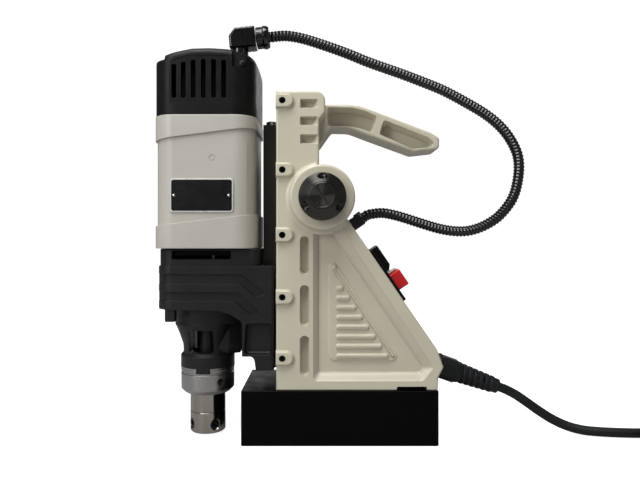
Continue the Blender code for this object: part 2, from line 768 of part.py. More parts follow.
def make_gear_case(black):
    """A deep case with an egg-shaped sump for the gears, a boss for the lay shaft, and lugs round the slide."""
    outer = [(-158, -CASE_HALF, 14), (-72, -CASE_HALF, 10), (-72, CASE_HALF, 10), (-158, CASE_HALF, 14)]
    inner = [(-153, -33, 9), (-77, -33, 6), (-77, 33, 6), (-153, 33, 9)]
    case = plate("gear_case", [outer], CASE_SHELF, CASE_TOP)
    sump = plate("sump", [egg(SUMP_RADII[0], SUMP_RADII[1])], CASE_BOTTOM, CASE_SHELF + 2)
    lay_boss = turned("lay_boss", [(0, 110), (LAY_BOSS_RADIUS, 110), (LAY_BOSS_RADIUS, 89), (6, 84), (0, 84)],
                      (LAY_X, 0, 0), steps=20)
    lugs = plate("slide_lugs", [[
        (-105, CASE_SHELF + 1), (-105, CASE_SHELF - 0.5), (-95, 112.5), (-86, 107), (-84.6, 104), (-84.6, 76),
        (-74, 76), (-72.5, 73), (-72.5, 64), (-57, 64), (-57, LUG_TOP), (-90, LUG_TOP), (-90, CASE_SHELF + 1),
    ]], -CASE_HALF, CASE_HALF, "Y")
    tab = box("front_tab", (-152, -CASE_HALF + 2, 105.7), (-143, -CASE_HALF + 10, 118))
    join(case, sump, lay_boss, lugs, tab)
    cut(case, plate("case_room", [inner], CASE_SHELF + CASE_WALL, CASE_TOP + 5),
        plate("sump_room", [egg(SUMP_RADII[0] - 4, SUMP_RADII[1] - 4)], 110, CASE_SHELF + CASE_WALL + 1),
        box("slide_room", (SLIDE_FRONT - GAP, -SLIDE_HALF - GAP, 50), (-50, SLIDE_HALF + GAP, CASE_TOP + 5)),
        cylinder("case_bore", BEARING_SEAT, (SPINDLE_X, 0, 95), (SPINDLE_X, 0, 120)),
        cylinder("lay_seat", 5.4, (LAY_X, 0, 106.2), (LAY_X, 0, 115), segments=20),
        cylinder("wheel_room", 19.4, (LAY_X, 0, 138.5), (LAY_X, 0, 151.5)))
    fit = [(x + math.copysign(GAP, -115 - x), y - math.copysign(GAP, y), radius - GAP) for x, y, radius in inner]
    bearing_plate = plate("bearing_plate", [
        fit, shifted(circle(7.5), MOTOR_X, 0), shifted(circle(5.4), LAY_X, 0),
    ], 163.5, CASE_TOP - GAP)
    paint(black, case, bearing_plate)
    return case, bearing_plate


def make_nose(black, steel):
    """The neck with its drift window, and the coolant ring keyed to it."""
    place = (SPINDLE_X, 0, 0)
    neck = turned("spindle_neck", [
        (30, 103.7), (30, 99), (26, 97), (NECK_RADIUS, 97), (NECK_RADIUS, 74), (COLLAR_RADIUS, 72),
        (COLLAR_RADIUS, 61), (14.5, 61), (14.5, 98.7), (BEARING_SEAT, 98.7), (BEARING_SEAT, 103.7),
    ], place, steps=28)
    window = box("drift_window", (SPINDLE_X - 10.5, -60, 75.6), (SPINDLE_X + 10.5, 60, 95.7))
    tab = box("key_tab", (SPINDLE_X - 6, -24.2, 58.3), (SPINDLE_X + 6, -20, 63))
    boss_room = cylinder("boss_room", LAY_BOSS_RADIUS + 0.35, (LAY_X, 0, 80), (LAY_X, 0, 110))
    cut(neck, window, boss_room)
    join(neck, tab)
    paint(black, neck)
    ring = turned("coolant_ring", [
        (RING_RADIUS, 60.7), (RING_RADIUS, 57.6), (23.4, 57.2), (23.4, 56.4), (RING_RADIUS, 56),
        (RING_RADIUS, 42), (20.5, 38), (ARBOR_RADIUS + 0.5, 38), (ARBOR_RADIUS + 0.5, 60.7),
    ], place, steps=28)
    notch = box("key_notch", (SPINDLE_X - 6.4, -30, 58), (SPINDLE_X + 6.4, -19.5, 66))
    cut(ring, notch)
    bearing = turned("spindle_bearing", [(16.6, 109.5), (16.6, 99), (10.4, 99), (10.4, 109.5)], place)
    paint(steel, ring, bearing)
    return neck, ring, bearing


def motor_outline(half, radius):
    return rectangle((MOTOR_X, 0), (half, half), radius)


def make_shroud(cream, black):
    wall_inside = MOTOR_HALF - MOTOR_WALL
    inner = motor_outline(wall_inside, 16)
    shroud = plate("motor_shroud", [motor_outline(MOTOR_HALF, 20), inner], SHROUD_BOTTOM, SHROUD_TOP)
    bands = motor_outline(MOTOR_HALF + BAND_PROUD, 21)
    core = motor_outline(MOTOR_HALF - 1, 19)
    join(shroud, plate("lower_band", [bands, core], SHROUD_BOTTOM, 193),
         plate("upper_band", [bands, core], 267, SHROUD_TOP))
    paint(cream, shroud)
    label = box("rating_plate", (-145.4, -MOTOR_HALF - GAP - 0.8, 200.7), (-91, -MOTOR_HALF - GAP, 229.8))
    paint(black, label)
    return shroud, label


def vent(place, start, end):
    return box("vent", (place - 2.05, start, 298.7), (place + 2.05, end, 329))


def make_cap(black):
    """The vented motor cap: a shell with a rounded top, open below."""
    half = MOTOR_HALF + 1
    cap = plate("motor_cap", [motor_outline(half, 20)], SHROUD_TOP + GAP, CAP_TOP)
    rim = cap.modifiers.new("rim", "BEVEL")
    rim.width = 9 * MM
    rim.segments = 3
    rim.limit_method = "ANGLE"
    rim.angle_limit = math.radians(60)
    skirt = plate("cap_skirt", [motor_outline(half, 20)], SHROUD_TOP + GAP, 310)
    room = plate("cap_room", [motor_outline(half - 4, 16)], SHROUD_TOP - 5, CAP_TOP - 6)
    join(cap, skirt)
    cut(cap, room)
    slots = []
    for index in range(VENTS):
        place = -142 + index * VENT_PITCH
        slots.append(vent(place, -60, 60))
    cut(cap, merged("vents", slots), cylinder("elbow_hole", 6, (-91, 0, 330), (-91, 0, 350), segments=20))
    paint(black, cap)
    return cap


def make_motor_inside(steel, black, bronze):
    """Stator, brushes, end frame and bearing inside the shroud."""
    centre = (MOTOR_X, 0, 0)
    stator = turned("stator", [(37.5, 252), (37.5, 194), (24, 194), (24, 252)], centre)
    frame_outline = motor_outline(MOTOR_HALF - MOTOR_WALL - GAP, 15.5)
    end_frame = plate("motor_end_frame", [
        frame_outline, shifted(circle(11.3), MOTOR_X, 0),
        rectangle((MOTOR_X - 27, 0), (8, 16), 3), rectangle((MOTOR_X + 27, 0), (8, 16), 3),
    ], 276, 283.5)
    bearing = turned("armature_bearing", [(11, 283), (11, 276.5), (4.35, 276.5), (4.35, 283)], centre, steps=28)
    brushes = [box("brush_near", (MOTOR_X - 4, -33, 258), (MOTOR_X + 4, -13.4, 268)),
               box("brush_far", (MOTOR_X - 4, 13.4, 258), (MOTOR_X + 4, 33, 268))]
    paint(steel, stator, bearing)
    paint(black, end_frame)
    paint(bronze, *brushes)
    return [stator, end_frame, bearing, *brushes]


ELBOW_DIRECTION = Vector((math.cos(0.1), 0, math.sin(0.1)))
ELBOW_START = Vector((-101, 0, 361.7))


def make_elbow(black):
    """The elbow on the cap, and the nut that clamps the conduit in it."""
    mouth = ELBOW_START + ELBOW_DIRECTION * 25
    elbow = cylinder("conduit_elbow", 9.4, ELBOW_START, mouth, segments=28)
    stem = cylinder("elbow_stem", 8, (-91, 0, CAP_TOP + GAP), (-91, 0, 362), segments=24)
    spigot = cylinder("elbow_spigot", 5.6, (-91, 0, 338), (-91, 0, 347), segments=20)
    bore = cylinder("elbow_bore", 4, ELBOW_START + ELBOW_DIRECTION * 12, mouth + ELBOW_DIRECTION * 5, segments=16)
    join(elbow, stem, spigot)
    cut(elbow, bore)
    nut = turned("conduit_nut", [
        (10.8, 12), (10.8, 0), (4, 0), (4, 8), (5.5, 8), (5.5, 12),
    ], mouth + ELBOW_DIRECTION * GAP, ELBOW_DIRECTION, 28)
    paint(black, elbow, nut)
    return elbow, nut


# ---------------------------------------------------------------- turning parts

def make_spindle(steel, black):
    axis = moving_frame("spindle_axis", (SPINDLE_X, 0, 0))
    shaft = turned("spindle_shaft", [
        (0, 134), (7, 134), (7, 115), (12, 115), (12, 110), (10, 110), (10, 57.8), (0, 57.8),
    ], (SPINDLE_X, 0, 0), steps=20)
    wheel = gear("spindle_gear", SPINDLE_WHEEL, COARSE_MODULE, (SPINDLE_X, 0), 117, 131, bore=7.35)
    arbor = turned("arbor_sleeve", [
        (0, 57.5), (15, 57.5), (ARBOR_RADIUS, 56.5), (ARBOR_RADIUS, ARBOR_BOTTOM + 1),
        (ARBOR_RADIUS - 1, ARBOR_BOTTOM), (SOCKET_RADIUS, ARBOR_BOTTOM), (SOCKET_RADIUS, 50), (0, 50),
    ], (SPINDLE_X, 0, 0), steps=28)
    pieces = [shaft, wheel, arbor]
    holes = []
    for number, angle in enumerate((35, -55), 1):
        outward = Vector((math.sin(math.radians(angle)), -math.cos(math.radians(angle)), 0))
        middle = Vector((SPINDLE_X, 0, 9.7))
        screw = cylinder("arbor_screw_%d" % number, 4.2, middle + outward * 10, middle + outward * 15.4,
                         segments=20)
        key = cylinder("arbor_key_%d" % number, 2.4, middle + outward * 12, middle + outward * 20, segments=6)
        cut(screw, key)
        holes.append(cylinder("arbor_hole", 4.5, middle + outward * 5, middle + outward * 20, segments=20))
        paint(black, screw)
        pieces.append(screw)
    cut(arbor, merged("arbor_holes", holes))
    paint(steel, shaft, wheel, arbor)
    carry(axis, *pieces)


def make_lay_shaft(steel):
    axis = moving_frame("lay_axis", (LAY_X, 0, 0))
    shaft = turned("lay_shaft", [(0, 168), (5, 168), (5, 106.5), (0, 106.5)], (LAY_X, 0, 0), steps=20)
    join(shaft, gear("lay_pinion", LAY_PINION, COARSE_MODULE, (LAY_X, 0), 116, 132, phase=0.5))
    wheel = gear("lay_gear", LAY_WHEEL, FINE_MODULE, (LAY_X, 0), 140, 150, bore=5.35)
    carry(axis, shaft, wheel)
    paint(steel, shaft, wheel)


def make_armature(steel, copper, black):
    axis = moving_frame("armature_axis", (MOTOR_X, 0, 0))
    place = (MOTOR_X, 0, 0)
    armature = turned("armature", [
        (0, 288), (4, 288), (4, 246), (23, 246), (23, 198), (4, 198), (4, 152), (3.2, 152), (3.2, 138.5),
        (0, 138.5),
    ], place, steps=20)
    join(armature, gear("motor_pinion", MOTOR_PINION, FINE_MODULE, (MOTOR_X, 0), 139, 151, phase=0.5))
    commutator = turned("commutator", [(13, 271), (13, 255), (4.35, 255), (4.35, 271)], place, steps=20)
    fan = turned("motor_fan", [(10, 188), (10, 178), (4.35, 178), (4.35, 188)], place, steps=24)
    blades = []
    for index in range(8):
        blade = box("blade", (-0.8, 8, -4), (0.8, 32, 4))
        blade.location = (Matrix.Rotation(index * math.pi / 4, 3, "Z") @ Vector((0, 20, 0))
                          + Vector((MOTOR_X, 0, 183))) * MM
        blade.rotation_euler = Euler((0, 0, index * math.pi / 4))
        blades.append(blade)
    join(fan, merged("fan_blades", blades))
    carry(axis, armature, commutator, fan)
    paint(steel, armature)
    paint(copper, commutator)
    paint(black, fan)


# ---------------------------------------------------------------- conduit, lead and plug

CONDUIT_ROUTE = [
    (-48.6, 366.6), (-32.8, 364), (-12, 357.5), (8.8, 350), (29.6, 341.6), (58, 331.6), (78, 324),
    (97.5, 316), (117, 305.7), (136.6, 294), (151, 282), (161, 268.6), (167, 254), (167.4, 237),
    (162.5, 217), (151, 201), (137.7, 191.4), (123, 186), (108.5, 185.2), (92.8, 187.8), (74.5, 193.3),
    (56.3, 199), (42, 202), (31, 201.2),
]
LEAD_ROUTE = [
    (150.5, 0, 40.1), (156, 0, 37.9), (165, -0.6, 33.2), (175, -1.8, 26.4), (185, -3.6, 19.4),
    (196, -6, 12.6), (208, -9, 7.4), (221, -13, 4.7), (234, -16.5, 4.3), (248, -19, 4.3), (262, -20.2, 4.3),
    (274, -20.2, 4.3),
]


def make_conduit(black):
    gland_base = slope_point(41, 0.3)
    gland = turned("conduit_gland", [
        (5.4, 14), (5.8, 13), (5.8, 5), (6.1, 4.5), (6.1, 0), (4.2, 0), (4.2, -9), (3, -9), (3, 14),
    ], gland_base, SLOPE_OUT, 28)
    start = ELBOW_START + ELBOW_DIRECTION * 34
    end = gland_base + SLOPE_OUT * (14 + GAP)
    route = [start, start + ELBOW_DIRECTION * 5, *[(x, 0, z) for x, z in CONDUIT_ROUTE],
             end + SLOPE_OUT * 4]
    conduit = tube("flexible_conduit", [*smooth_line(route, 2), end], CONDUIT_RADIUS)
    paint(black, gland, conduit)
    return conduit


def make_lead(black):
    """Strain relief, lead, the round coil that the spare length is put away in, and a two-pin plug."""
    relief = turned("lead_strain_relief", [
        (6.7, RELIEF_LENGTH), (6.9, 58), (9.8, 16), (10, 12), (10, 4.5), (6.5, 4.5), (6.5, -8), (4.7, -8),
        (4.7, RELIEF_LENGTH),
    ], LEAD_ROOT, LEAD_DIRECTION, 28)
    start = LEAD_ROOT + LEAD_DIRECTION * (RELIEF_LENGTH + 2 * GAP)
    lead = tube("mains_lead", smooth_line([start, *LEAD_ROUTE], 3), LEAD_RADIUS)
    inner, outer = COIL_RADII
    coil = turned("mains_lead_coil", [
        (outer, COIL_HEIGHT - 5), (outer, 5), (outer - 5, 0.2), (inner + 5, 0.2), (inner, 5),
        (inner, COIL_HEIGHT - 5), (inner + 5, COIL_HEIGHT), (outer - 5, COIL_HEIGHT),
    ], (*COIL_CENTRE, 0), steps=28)
    plug = turned("mains_plug", [
        (0, 52), (18, 52), (19, 50), (19, 28), (14, 20), (8, 14), (6, 0), (0, 0),
    ], PLUG_ENTRY, (-1, 0, 0), 28)
    for side in (-9.5, 9.5):
        foot = PLUG_ENTRY + Vector((-51, side, 0))
        join(plug, cylinder("plug_pin", 2.4, foot, foot + Vector((-20, 0, 0)), segments=16))
    paint(black, relief, lead, coil, plug)


def main():
    cream = material("cream_enamel", CREAM, 0.45)
    black = material("black_enamel", BLACK, 0.45)
    resin = material("potting_resin", BLACK, 0.7)
    plastic = material("black_plastic", (0.025, 0.025, 0.025), 0.5)
    steel = material("steel", STEEL, 0.3, 1.0)
    copper = material("copper", COPPER, 0.35, 1.0)
    bronze = material("bronze", BRONZE, 0.4, 1.0)
    red = material("red_plastic", (0.55, 0.01, 0.02), 0.35)
    green = material("green_plastic", (0.02, 0.30, 0.06), 0.35)
    pale = material("rocker_plastic", (0.55, 0.55, 0.52), 0.4)
    board_green = material("board", (0.02, 0.16, 0.05), 0.5)

    make_magnet(black, copper, resin)
    make_frame(cream)
    make_handle(cream)
    make_gibs(black, steel)
    make_rear(cream, plastic, board_green)
    make_switches(plastic, red, green, pale)
    make_feed(black, steel, bronze)

    carriage = moving_frame("carriage_axis", (-61.9, 0, 170))
    pieces = [*make_slide(black, steel), make_rack(steel), *make_gear_case(black), *make_nose(black, steel)]
    pieces += make_shroud(cream, black)
    pieces += [make_cap(plastic), *make_motor_inside(steel, plastic, bronze), *make_elbow(plastic)]
    carry(carriage, *pieces)

    make_spindle(steel, black)
    make_lay_shaft(steel)
    make_armature(steel, copper, plastic)
    make_conduit(plastic)
    make_lead(plastic)


main()
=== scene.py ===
"""The looks of a magnetic drill press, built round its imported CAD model.

Sizes are in millimetres, and MM turns them into metres. +X runs from the spindle side to the rear,
+Y away from the side with the feed hub, and +Z up. The origin is the centre of the magnet's face.
"""
import math

import bmesh
import bpy
from mathutils import Matrix, Vector


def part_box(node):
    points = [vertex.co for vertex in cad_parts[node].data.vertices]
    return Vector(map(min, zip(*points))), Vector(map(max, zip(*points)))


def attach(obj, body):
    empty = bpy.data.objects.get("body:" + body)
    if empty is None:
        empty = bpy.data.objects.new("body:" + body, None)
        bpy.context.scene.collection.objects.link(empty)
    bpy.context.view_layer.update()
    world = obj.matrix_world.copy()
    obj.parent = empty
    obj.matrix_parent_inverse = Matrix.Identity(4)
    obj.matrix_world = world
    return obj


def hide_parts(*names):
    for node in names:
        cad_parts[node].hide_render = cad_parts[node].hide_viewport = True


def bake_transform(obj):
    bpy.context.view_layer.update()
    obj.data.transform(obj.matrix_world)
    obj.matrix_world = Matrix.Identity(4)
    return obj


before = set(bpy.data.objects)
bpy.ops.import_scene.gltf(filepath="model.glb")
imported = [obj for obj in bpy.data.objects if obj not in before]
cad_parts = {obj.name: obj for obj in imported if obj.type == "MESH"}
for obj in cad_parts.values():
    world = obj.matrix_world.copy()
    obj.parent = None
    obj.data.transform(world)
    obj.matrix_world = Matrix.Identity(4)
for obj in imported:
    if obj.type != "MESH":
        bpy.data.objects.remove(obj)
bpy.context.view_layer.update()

MM = 0.001
SHARP_ANGLE = math.radians(32)
OVERSHOOT = 1.0                 # how far a cutter reaches past the surface that it opens
CORNER_STEPS = 7


def extent(node):
    """Lowest and highest corner of a CAD node, in millimetres."""
    low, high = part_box(node)
    return low / MM, high / MM


FRAME_LOW, FRAME_HIGH = extent("frame_casting")
MAGNET_LOW, MAGNET_HIGH = extent("magnet_body")
SHROUD_LOW, SHROUD_HIGH = extent("motor_shroud")
ARBOR_LOW, ARBOR_HIGH = extent("arbor_sleeve")
HUB_LOW, HUB_HIGH = extent("feed_hub")
HUB_CAP_LOW, HUB_CAP_HIGH = extent("hub_cap")
CAP_BASE = extent("motor_cap")[0].z
CASE_TOP = extent("gear_case")[1].z
SLIDE_TOP = extent("slide_plate")[1].z

HALF_WIDTH = 42                 # of the frame casting
COLUMN_FRONT = FRAME_LOW.x
COLUMN_TOP = FRAME_HIGH.z
FRAME_BASE = FRAME_LOW.z
COLUMN_BACK = -12.5
COLUMN_NECK = -17.8
BOSS_NEAR = -55                 # the feed boss's two faces, along Y
BOSS_FAR = FRAME_HIGH.y
BOSS_RADIUS = 27.6
HEEL = (89.3, 67.6, 2)          # the rearmost corners of the casting
HEEL_TOP = (83.8, 82.7, 3)
LUG_PROUD = 3.6                 # how far a gib screw's lug stands out of the side
RECESS_DEPTH = 6
FEED_X = (HUB_LOW.x + HUB_HIGH.x) / 2
FEED_Z = (HUB_LOW.z + HUB_HIGH.z) / 2
SLOPE_TOP = (-12.5, 223)        # where the rear face starts
SLOPE_ANGLE = math.radians(55.55)
SLOPE_DOWN = Vector((math.cos(SLOPE_ANGLE), 0, -math.sin(SLOPE_ANGLE)))
SLOPE_OUT = Vector((math.sin(SLOPE_ANGLE), 0, math.cos(SLOPE_ANGLE)))
GLAND_DOWN = 41                 # the conduit gland's place on the rear face
GIB_SCREW_X = -49.2
GIB_SCREW_HEIGHTS = (296.2, 237, 181.3, 128.1, 75.8)
SPINDLE_X = (ARBOR_LOW.x + ARBOR_HIGH.x) / 2
LAY_X = -93                     # the lay shaft's axis
MOTOR_X = (SHROUD_LOW.x + SHROUD_HIGH.x) / 2 - 1.6
MOTOR_HALF = 43.5
CASE_HALF = 38
CASE_FRONT = -159.6
SLIDE_SCREW_X = -61.9


# ---------------------------------------------------------------- outlines

def rounded(corners, steps=CORNER_STEPS, closed=True):
    """Corner points as 2-D vectors; a third number rounds that corner."""
    points = []
    for index, corner in enumerate(corners):
        here = Vector(corner[:2])
        at_end = not closed and index in (0, len(corners) - 1)
        if len(corner) == 2 or at_end:
            points.append(here)
            continue
        to_before = (Vector(corners[index - 1][:2]) - here).normalized()
        to_after = (Vector(corners[(index + 1) % len(corners)][:2]) - here).normalized()
        half = to_before.angle(to_after) / 2
        centre = here + (to_before + to_after).normalized() * corner[2] / math.sin(half)
        start = here + to_before * corner[2] / math.tan(half) - centre
        end = here + to_after * corner[2] / math.tan(half) - centre
        swing = start.angle_signed(end)
        for step in range(steps + 1):
            points.append(centre + Matrix.Rotation(-swing * step / steps, 2) @ start)
    return points


def grown(points, amount):
    """A closed outline moved outwards, or inwards when the amount is negative."""
    count = len(points)
    area = sum(points[i].x * points[(i + 1) % count].y - points[(i + 1) % count].x * points[i].y
               for i in range(count))
    side = 1 if area > 0 else -1
    moved = []
    for index, point in enumerate(points):
        before = (point - points[index - 1]).normalized()
        after = (points[(index + 1) % count] - point).normalized()
        normal_before = Vector((before.y, -before.x)) * side
        normal_after = Vector((after.y, -after.x)) * side
        spread = max(0.3, 1 + normal_before.dot(normal_after))
        moved.append(point + (normal_before + normal_after) * amount / spread)
    return moved


def rectangle(low, high, radius):
    """Corners of a rounded rectangle."""
    return [(low[0], low[1], radius), (high[0], low[1], radius), (high[0], high[1], radius),
            (low[0], high[1], radius)]


def box_outline(low_x, high_x, half, radius=0):
    """Corners of a rectangle as wide to both sides of the middle plane."""
    corners = rectangle((low_x, -half), (high_x, half), radius)
    return corners if radius else [corner[:2] for corner in corners]


def on_z(u, v, height):
    return Vector((u, v, height))


def on_y(u, v, height):
    return Vector((u, height, v))


def slope_point(down, out=0, y=0):
    """A place on the rear face: distance down from its top, and out from the face."""
    return Vector((SLOPE_TOP[0], y, SLOPE_TOP[1])) + SLOPE_DOWN * down + SLOPE_OUT * out


def on_slope(down, across, out):
    return slope_point(down, out, across)


def rim(end, inward, radius, steps=4):
    """Levels of one end of a solid: a rounded edge, or a flare when the radius is negative."""
    levels = [(end - inward * OVERSHOOT, -radius)] if radius < 0 else []
    for step in range(steps + 1 if radius else 1):
        turn = math.pi / 2 * step / steps
        levels.append((end + inward * abs(radius) * (1 - math.cos(turn)), -radius * (1 - math.sin(turn))))
    return levels


def walls(low, high, low_radius=0, high_radius=0):
    """(height, growth) levels of a solid with rounded or flared ends."""
    return rim(low, 1, low_radius) + rim(high, -1, high_radius)[::-1]


# ---------------------------------------------------------------- meshes

def mesh_object(name, bm):
    bmesh.ops.recalc_face_normals(bm, faces=bm.faces)
    mesh = bpy.data.meshes.new(name)
    bm.to_mesh(mesh)
    bm.free()
    made = bpy.data.objects.new(name, mesh)
    bpy.context.scene.collection.objects.link(made)
    return made


def loft(name, rings, closed=False):
    """A solid through rings of equal counts: capped at both ends, or closed on itself."""
    bm = bmesh.new()
    rows = [[bm.verts.new(point * MM) for point in ring] for ring in rings]
    pairs = list(zip(rows, rows[1:]))
    if closed:
        pairs.append((rows[-1], rows[0]))
    else:
        bm.faces.new(rows[0])
        bm.faces.new(rows[-1])
    for first, second in pairs:
        for index in range(len(first)):
            after = (index + 1) % len(first)
            bm.faces.new((first[index], first[after], second[after], second[index]))
    return mesh_object(name, bm)


def solid(name, corners, levels, place=on_z):
    """A solid on an outline, through (height, growth) levels."""
    points = rounded(corners)
    rings = []
    for height, growth in levels:
        rings.append([place(*point, height) for point in grown(points, growth)])
    return loft(name, rings)


def lathe(name, profile, base=(0, 0, 0), axis=(0, 0, 1), steps=72):
    """A turned solid from (radius, height) pairs, rounded where a third number says so."""
    closed = profile[0][0] > 0
    turn = Vector((0, 0, 1)).rotation_difference(Vector(axis)).to_matrix()
    base = Vector(base)
    bm = bmesh.new()
    rows = []
    for radius, height in rounded(profile, 4, closed):
        row = []
        for step in range(steps if radius > 1e-6 else 1):
            angle = 2 * math.pi * step / steps
            spot = Vector((radius * math.cos(angle), radius * math.sin(angle), height))
            row.append(bm.verts.new((base + turn @ spot) * MM))
        rows.append(row)
    pairs = list(zip(rows, rows[1:]))
    if closed:
        pairs.append((rows[-1], rows[0]))
    for first, second in pairs:
        for index in range(steps):
            after = (index + 1) % steps
            corners = [first[index % len(first)], first[after % len(first)],
                       second[after % len(second)], second[index % len(second)]]
            corners = list(dict.fromkeys(corners))
            if len(corners) > 2:
                bm.faces.new(corners)
    return mesh_object(name, bm)


def on_feed(name, profile, steps=96, base=0, side=1):
    """A turned solid on the feed shaft's axis."""
    return lathe(name, profile, (FEED_X, base, FEED_Z), (0, side, 0), steps)


def upright(name, profile, x, steps):
    """A turned solid on a vertical axis in the middle plane."""
    return lathe(name, profile, (x, 0, 0), steps=steps)


def tube(name, path, radii, segments=20):
    """A tube along points, with one radius for each point."""
    bm = bmesh.new()
    rows = []
    direction = (path[1] - path[0]).normalized()
    side = direction.orthogonal().normalized()
    for index, (point, radius) in enumerate(zip(path, radii)):
        ahead = path[min(index + 1, len(path) - 1)] - path[max(index - 1, 0)]
        turned = direction.rotation_difference(ahead.normalized())
        direction = ahead.normalized()
        side = (turned @ side).normalized()
        other = direction.cross(side)
        row = []
        for step in range(segments):
            angle = 2 * math.pi * step / segments
            spoke = side * math.cos(angle) + other * math.sin(angle)
            row.append(bm.verts.new((point + spoke * radius) * MM))
        rows.append(row)
    for first, second in zip(rows, rows[1:]):
        for index in range(segments):
            after = (index + 1) % segments
            bm.faces.new((first[index], first[after], second[after], second[index]))
    bm.faces.new(rows[0])
    bm.faces.new(rows[-1])
    return mesh_object(name, bm)


def smooth_line(points, steps):
    """Points on a smooth curve through the given ones."""
    points = [Vector(point) for point in points]
    padded = [2 * points[0] - points[1], *points, 2 * points[-1] - points[-2]]
    line = []
    for a, b, c, d in zip(padded, padded[1:], padded[2:], padded[3:]):
        for step in range(steps):
            t = step / steps
            line.append(0.5 * (2 * b + (c - a) * t + (2 * a - 5 * b + 4 * c - d) * t ** 2
                               + (3 * b - a - 3 * c + d) * t ** 3))
    return line + [points[-1]]


def spaced(points, spacing):
    """The same line with evenly spaced points."""
    line = [points[0]]
    left = spacing
    for start, end in zip(points, points[1:]):
        length = (end - start).length
        done = 0
        while length - done >= left:
            done += left
            line.append(start + (end - start) * done / length)
            left = spacing
        left -= length - done
    return line


def combine(target, operation, *tools):
    """A Boolean with several tools, applied."""
    for tool in tools:
        modifier = target.modifiers.new("combine", "BOOLEAN")
        modifier.operation = operation
        modifier.object = tool
    bpy.context.view_layer.update()
    graph = bpy.context.evaluated_depsgraph_get()
    mesh = bpy.data.meshes.new_from_object(target.evaluated_get(graph))
    target.modifiers.clear()
    target.data = mesh
    for tool in tools:
        bpy.data.objects.remove(tool, do_unlink=True)
    return target


def cut(target, *tools):
    return combine(target, "DIFFERENCE", *tools)


def join(target, *tools):
    return combine(target, "UNION", *tools)


def common(target, *tools):
    return combine(target, "INTERSECT", *tools)


def fit(piece, surface, slot, body, *nodes):
    """Gives a finished piece its material and shading, and puts it on its body in place of CAD nodes."""
    piece.data.materials.clear()
    piece.data.materials.append(surface)
    piece.data.shade_smooth()
    piece.data.set_sharp_from_angle(angle=SHARP_ANGLE)
    shading = piece.modifiers.new("shading", "WEIGHTED_NORMAL")
    shading.keep_sharp = True
    if body:
        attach(piece, body)
    if nodes:
        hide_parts(*nodes)
    return piece


# ---------------------------------------------------------------- materials

def linear(*srgb):
    """An sRGB colour of 0 to 255 in linear light."""
    return tuple((value / 255) ** 2.2 for value in srgb)


def noise(nodes, links, coordinates, scale, detail=3, stretch=(1, 1, 1)):
    """A noise value over the object, stretched along some axes."""
    mapping = nodes.new("ShaderNodeMapping")
    mapping.inputs["Scale"].default_value = stretch
    texture = nodes.new("ShaderNodeTexNoise")
    texture.inputs["Scale"].default_value = scale
    texture.inputs["Detail"].default_value = detail
    links.new(coordinates.outputs["Object"], mapping.inputs["Vector"])
    links.new(mapping.outputs["Vector"], texture.inputs["Vector"])
    return texture.outputs["Fac"]


def material(name, colour, roughness, metallic=0.0, mottle=0.12, patch=35, spread=0.06, coat=0.0,
             bumps=(), patch_stretch=(1, 1, 1), anisotropic=0.0, tangent=None, specular=0.5):
    """A Principled surface with uneven colour and roughness.

    bumps are (scale, height in millimetres, stretch) rows, from coarse to fine.
    """
    made = bpy.data.materials.new(name)
    made.use_nodes = True
    nodes, links = made.node_tree.nodes, made.node_tree.links
    shader = nodes["Principled BSDF"]
    shader.inputs["Metallic"].default_value = metallic
    shader.inputs["Coat Weight"].default_value = coat
    shader.inputs["Coat Roughness"].default_value = 0.25
    shader.inputs["Specular IOR Level"].default_value = specular
    shader.inputs["Anisotropic"].default_value = anisotropic
    shader.inputs["Anisotropic Rotation"].default_value = 0.25
    coordinates = nodes.new("ShaderNodeTexCoord")
    blotches = noise(nodes, links, coordinates, patch, 4, patch_stretch)

    ramp = nodes.new("ShaderNodeValToRGB")
    ramp.color_ramp.elements[0].position = 0.3
    ramp.color_ramp.elements[1].position = 0.7
    ramp.color_ramp.elements[0].color = (*(value * (1 - mottle) for value in colour), 1)
    ramp.color_ramp.elements[1].color = (*(min(1, value * (1 + mottle)) for value in colour), 1)
    links.new(blotches, ramp.inputs["Fac"])
    links.new(ramp.outputs["Color"], shader.inputs["Base Color"])

    smears = noise(nodes, links, coordinates, patch * 2.7, 5, patch_stretch)
    level = nodes.new("ShaderNodeMapRange")
    level.inputs["From Min"].default_value = 0.3
    level.inputs["From Max"].default_value = 0.7
    level.inputs["To Min"].default_value = max(0.03, roughness - spread)
    level.inputs["To Max"].default_value = roughness + spread
    links.new(smears, level.inputs["Value"])
    links.new(level.outputs["Result"], shader.inputs["Roughness"])

    normal = None
    for scale, height, stretch in bumps:
        relief = nodes.new("ShaderNodeBump")
        relief.inputs["Distance"].default_value = height * MM
        links.new(noise(nodes, links, coordinates, scale, 2, stretch), relief.inputs["Height"])
        if normal:
            links.new(normal, relief.inputs["Normal"])
        normal = relief.outputs["Normal"]
    if normal:
        links.new(normal, shader.inputs["Normal"])
    if tangent:
        direction = nodes.new("ShaderNodeTangent")
        direction.direction_type = "RADIAL"
        direction.axis = tangent
        links.new(direction.outputs["Tangent"], shader.inputs["Tangent"])
    return made


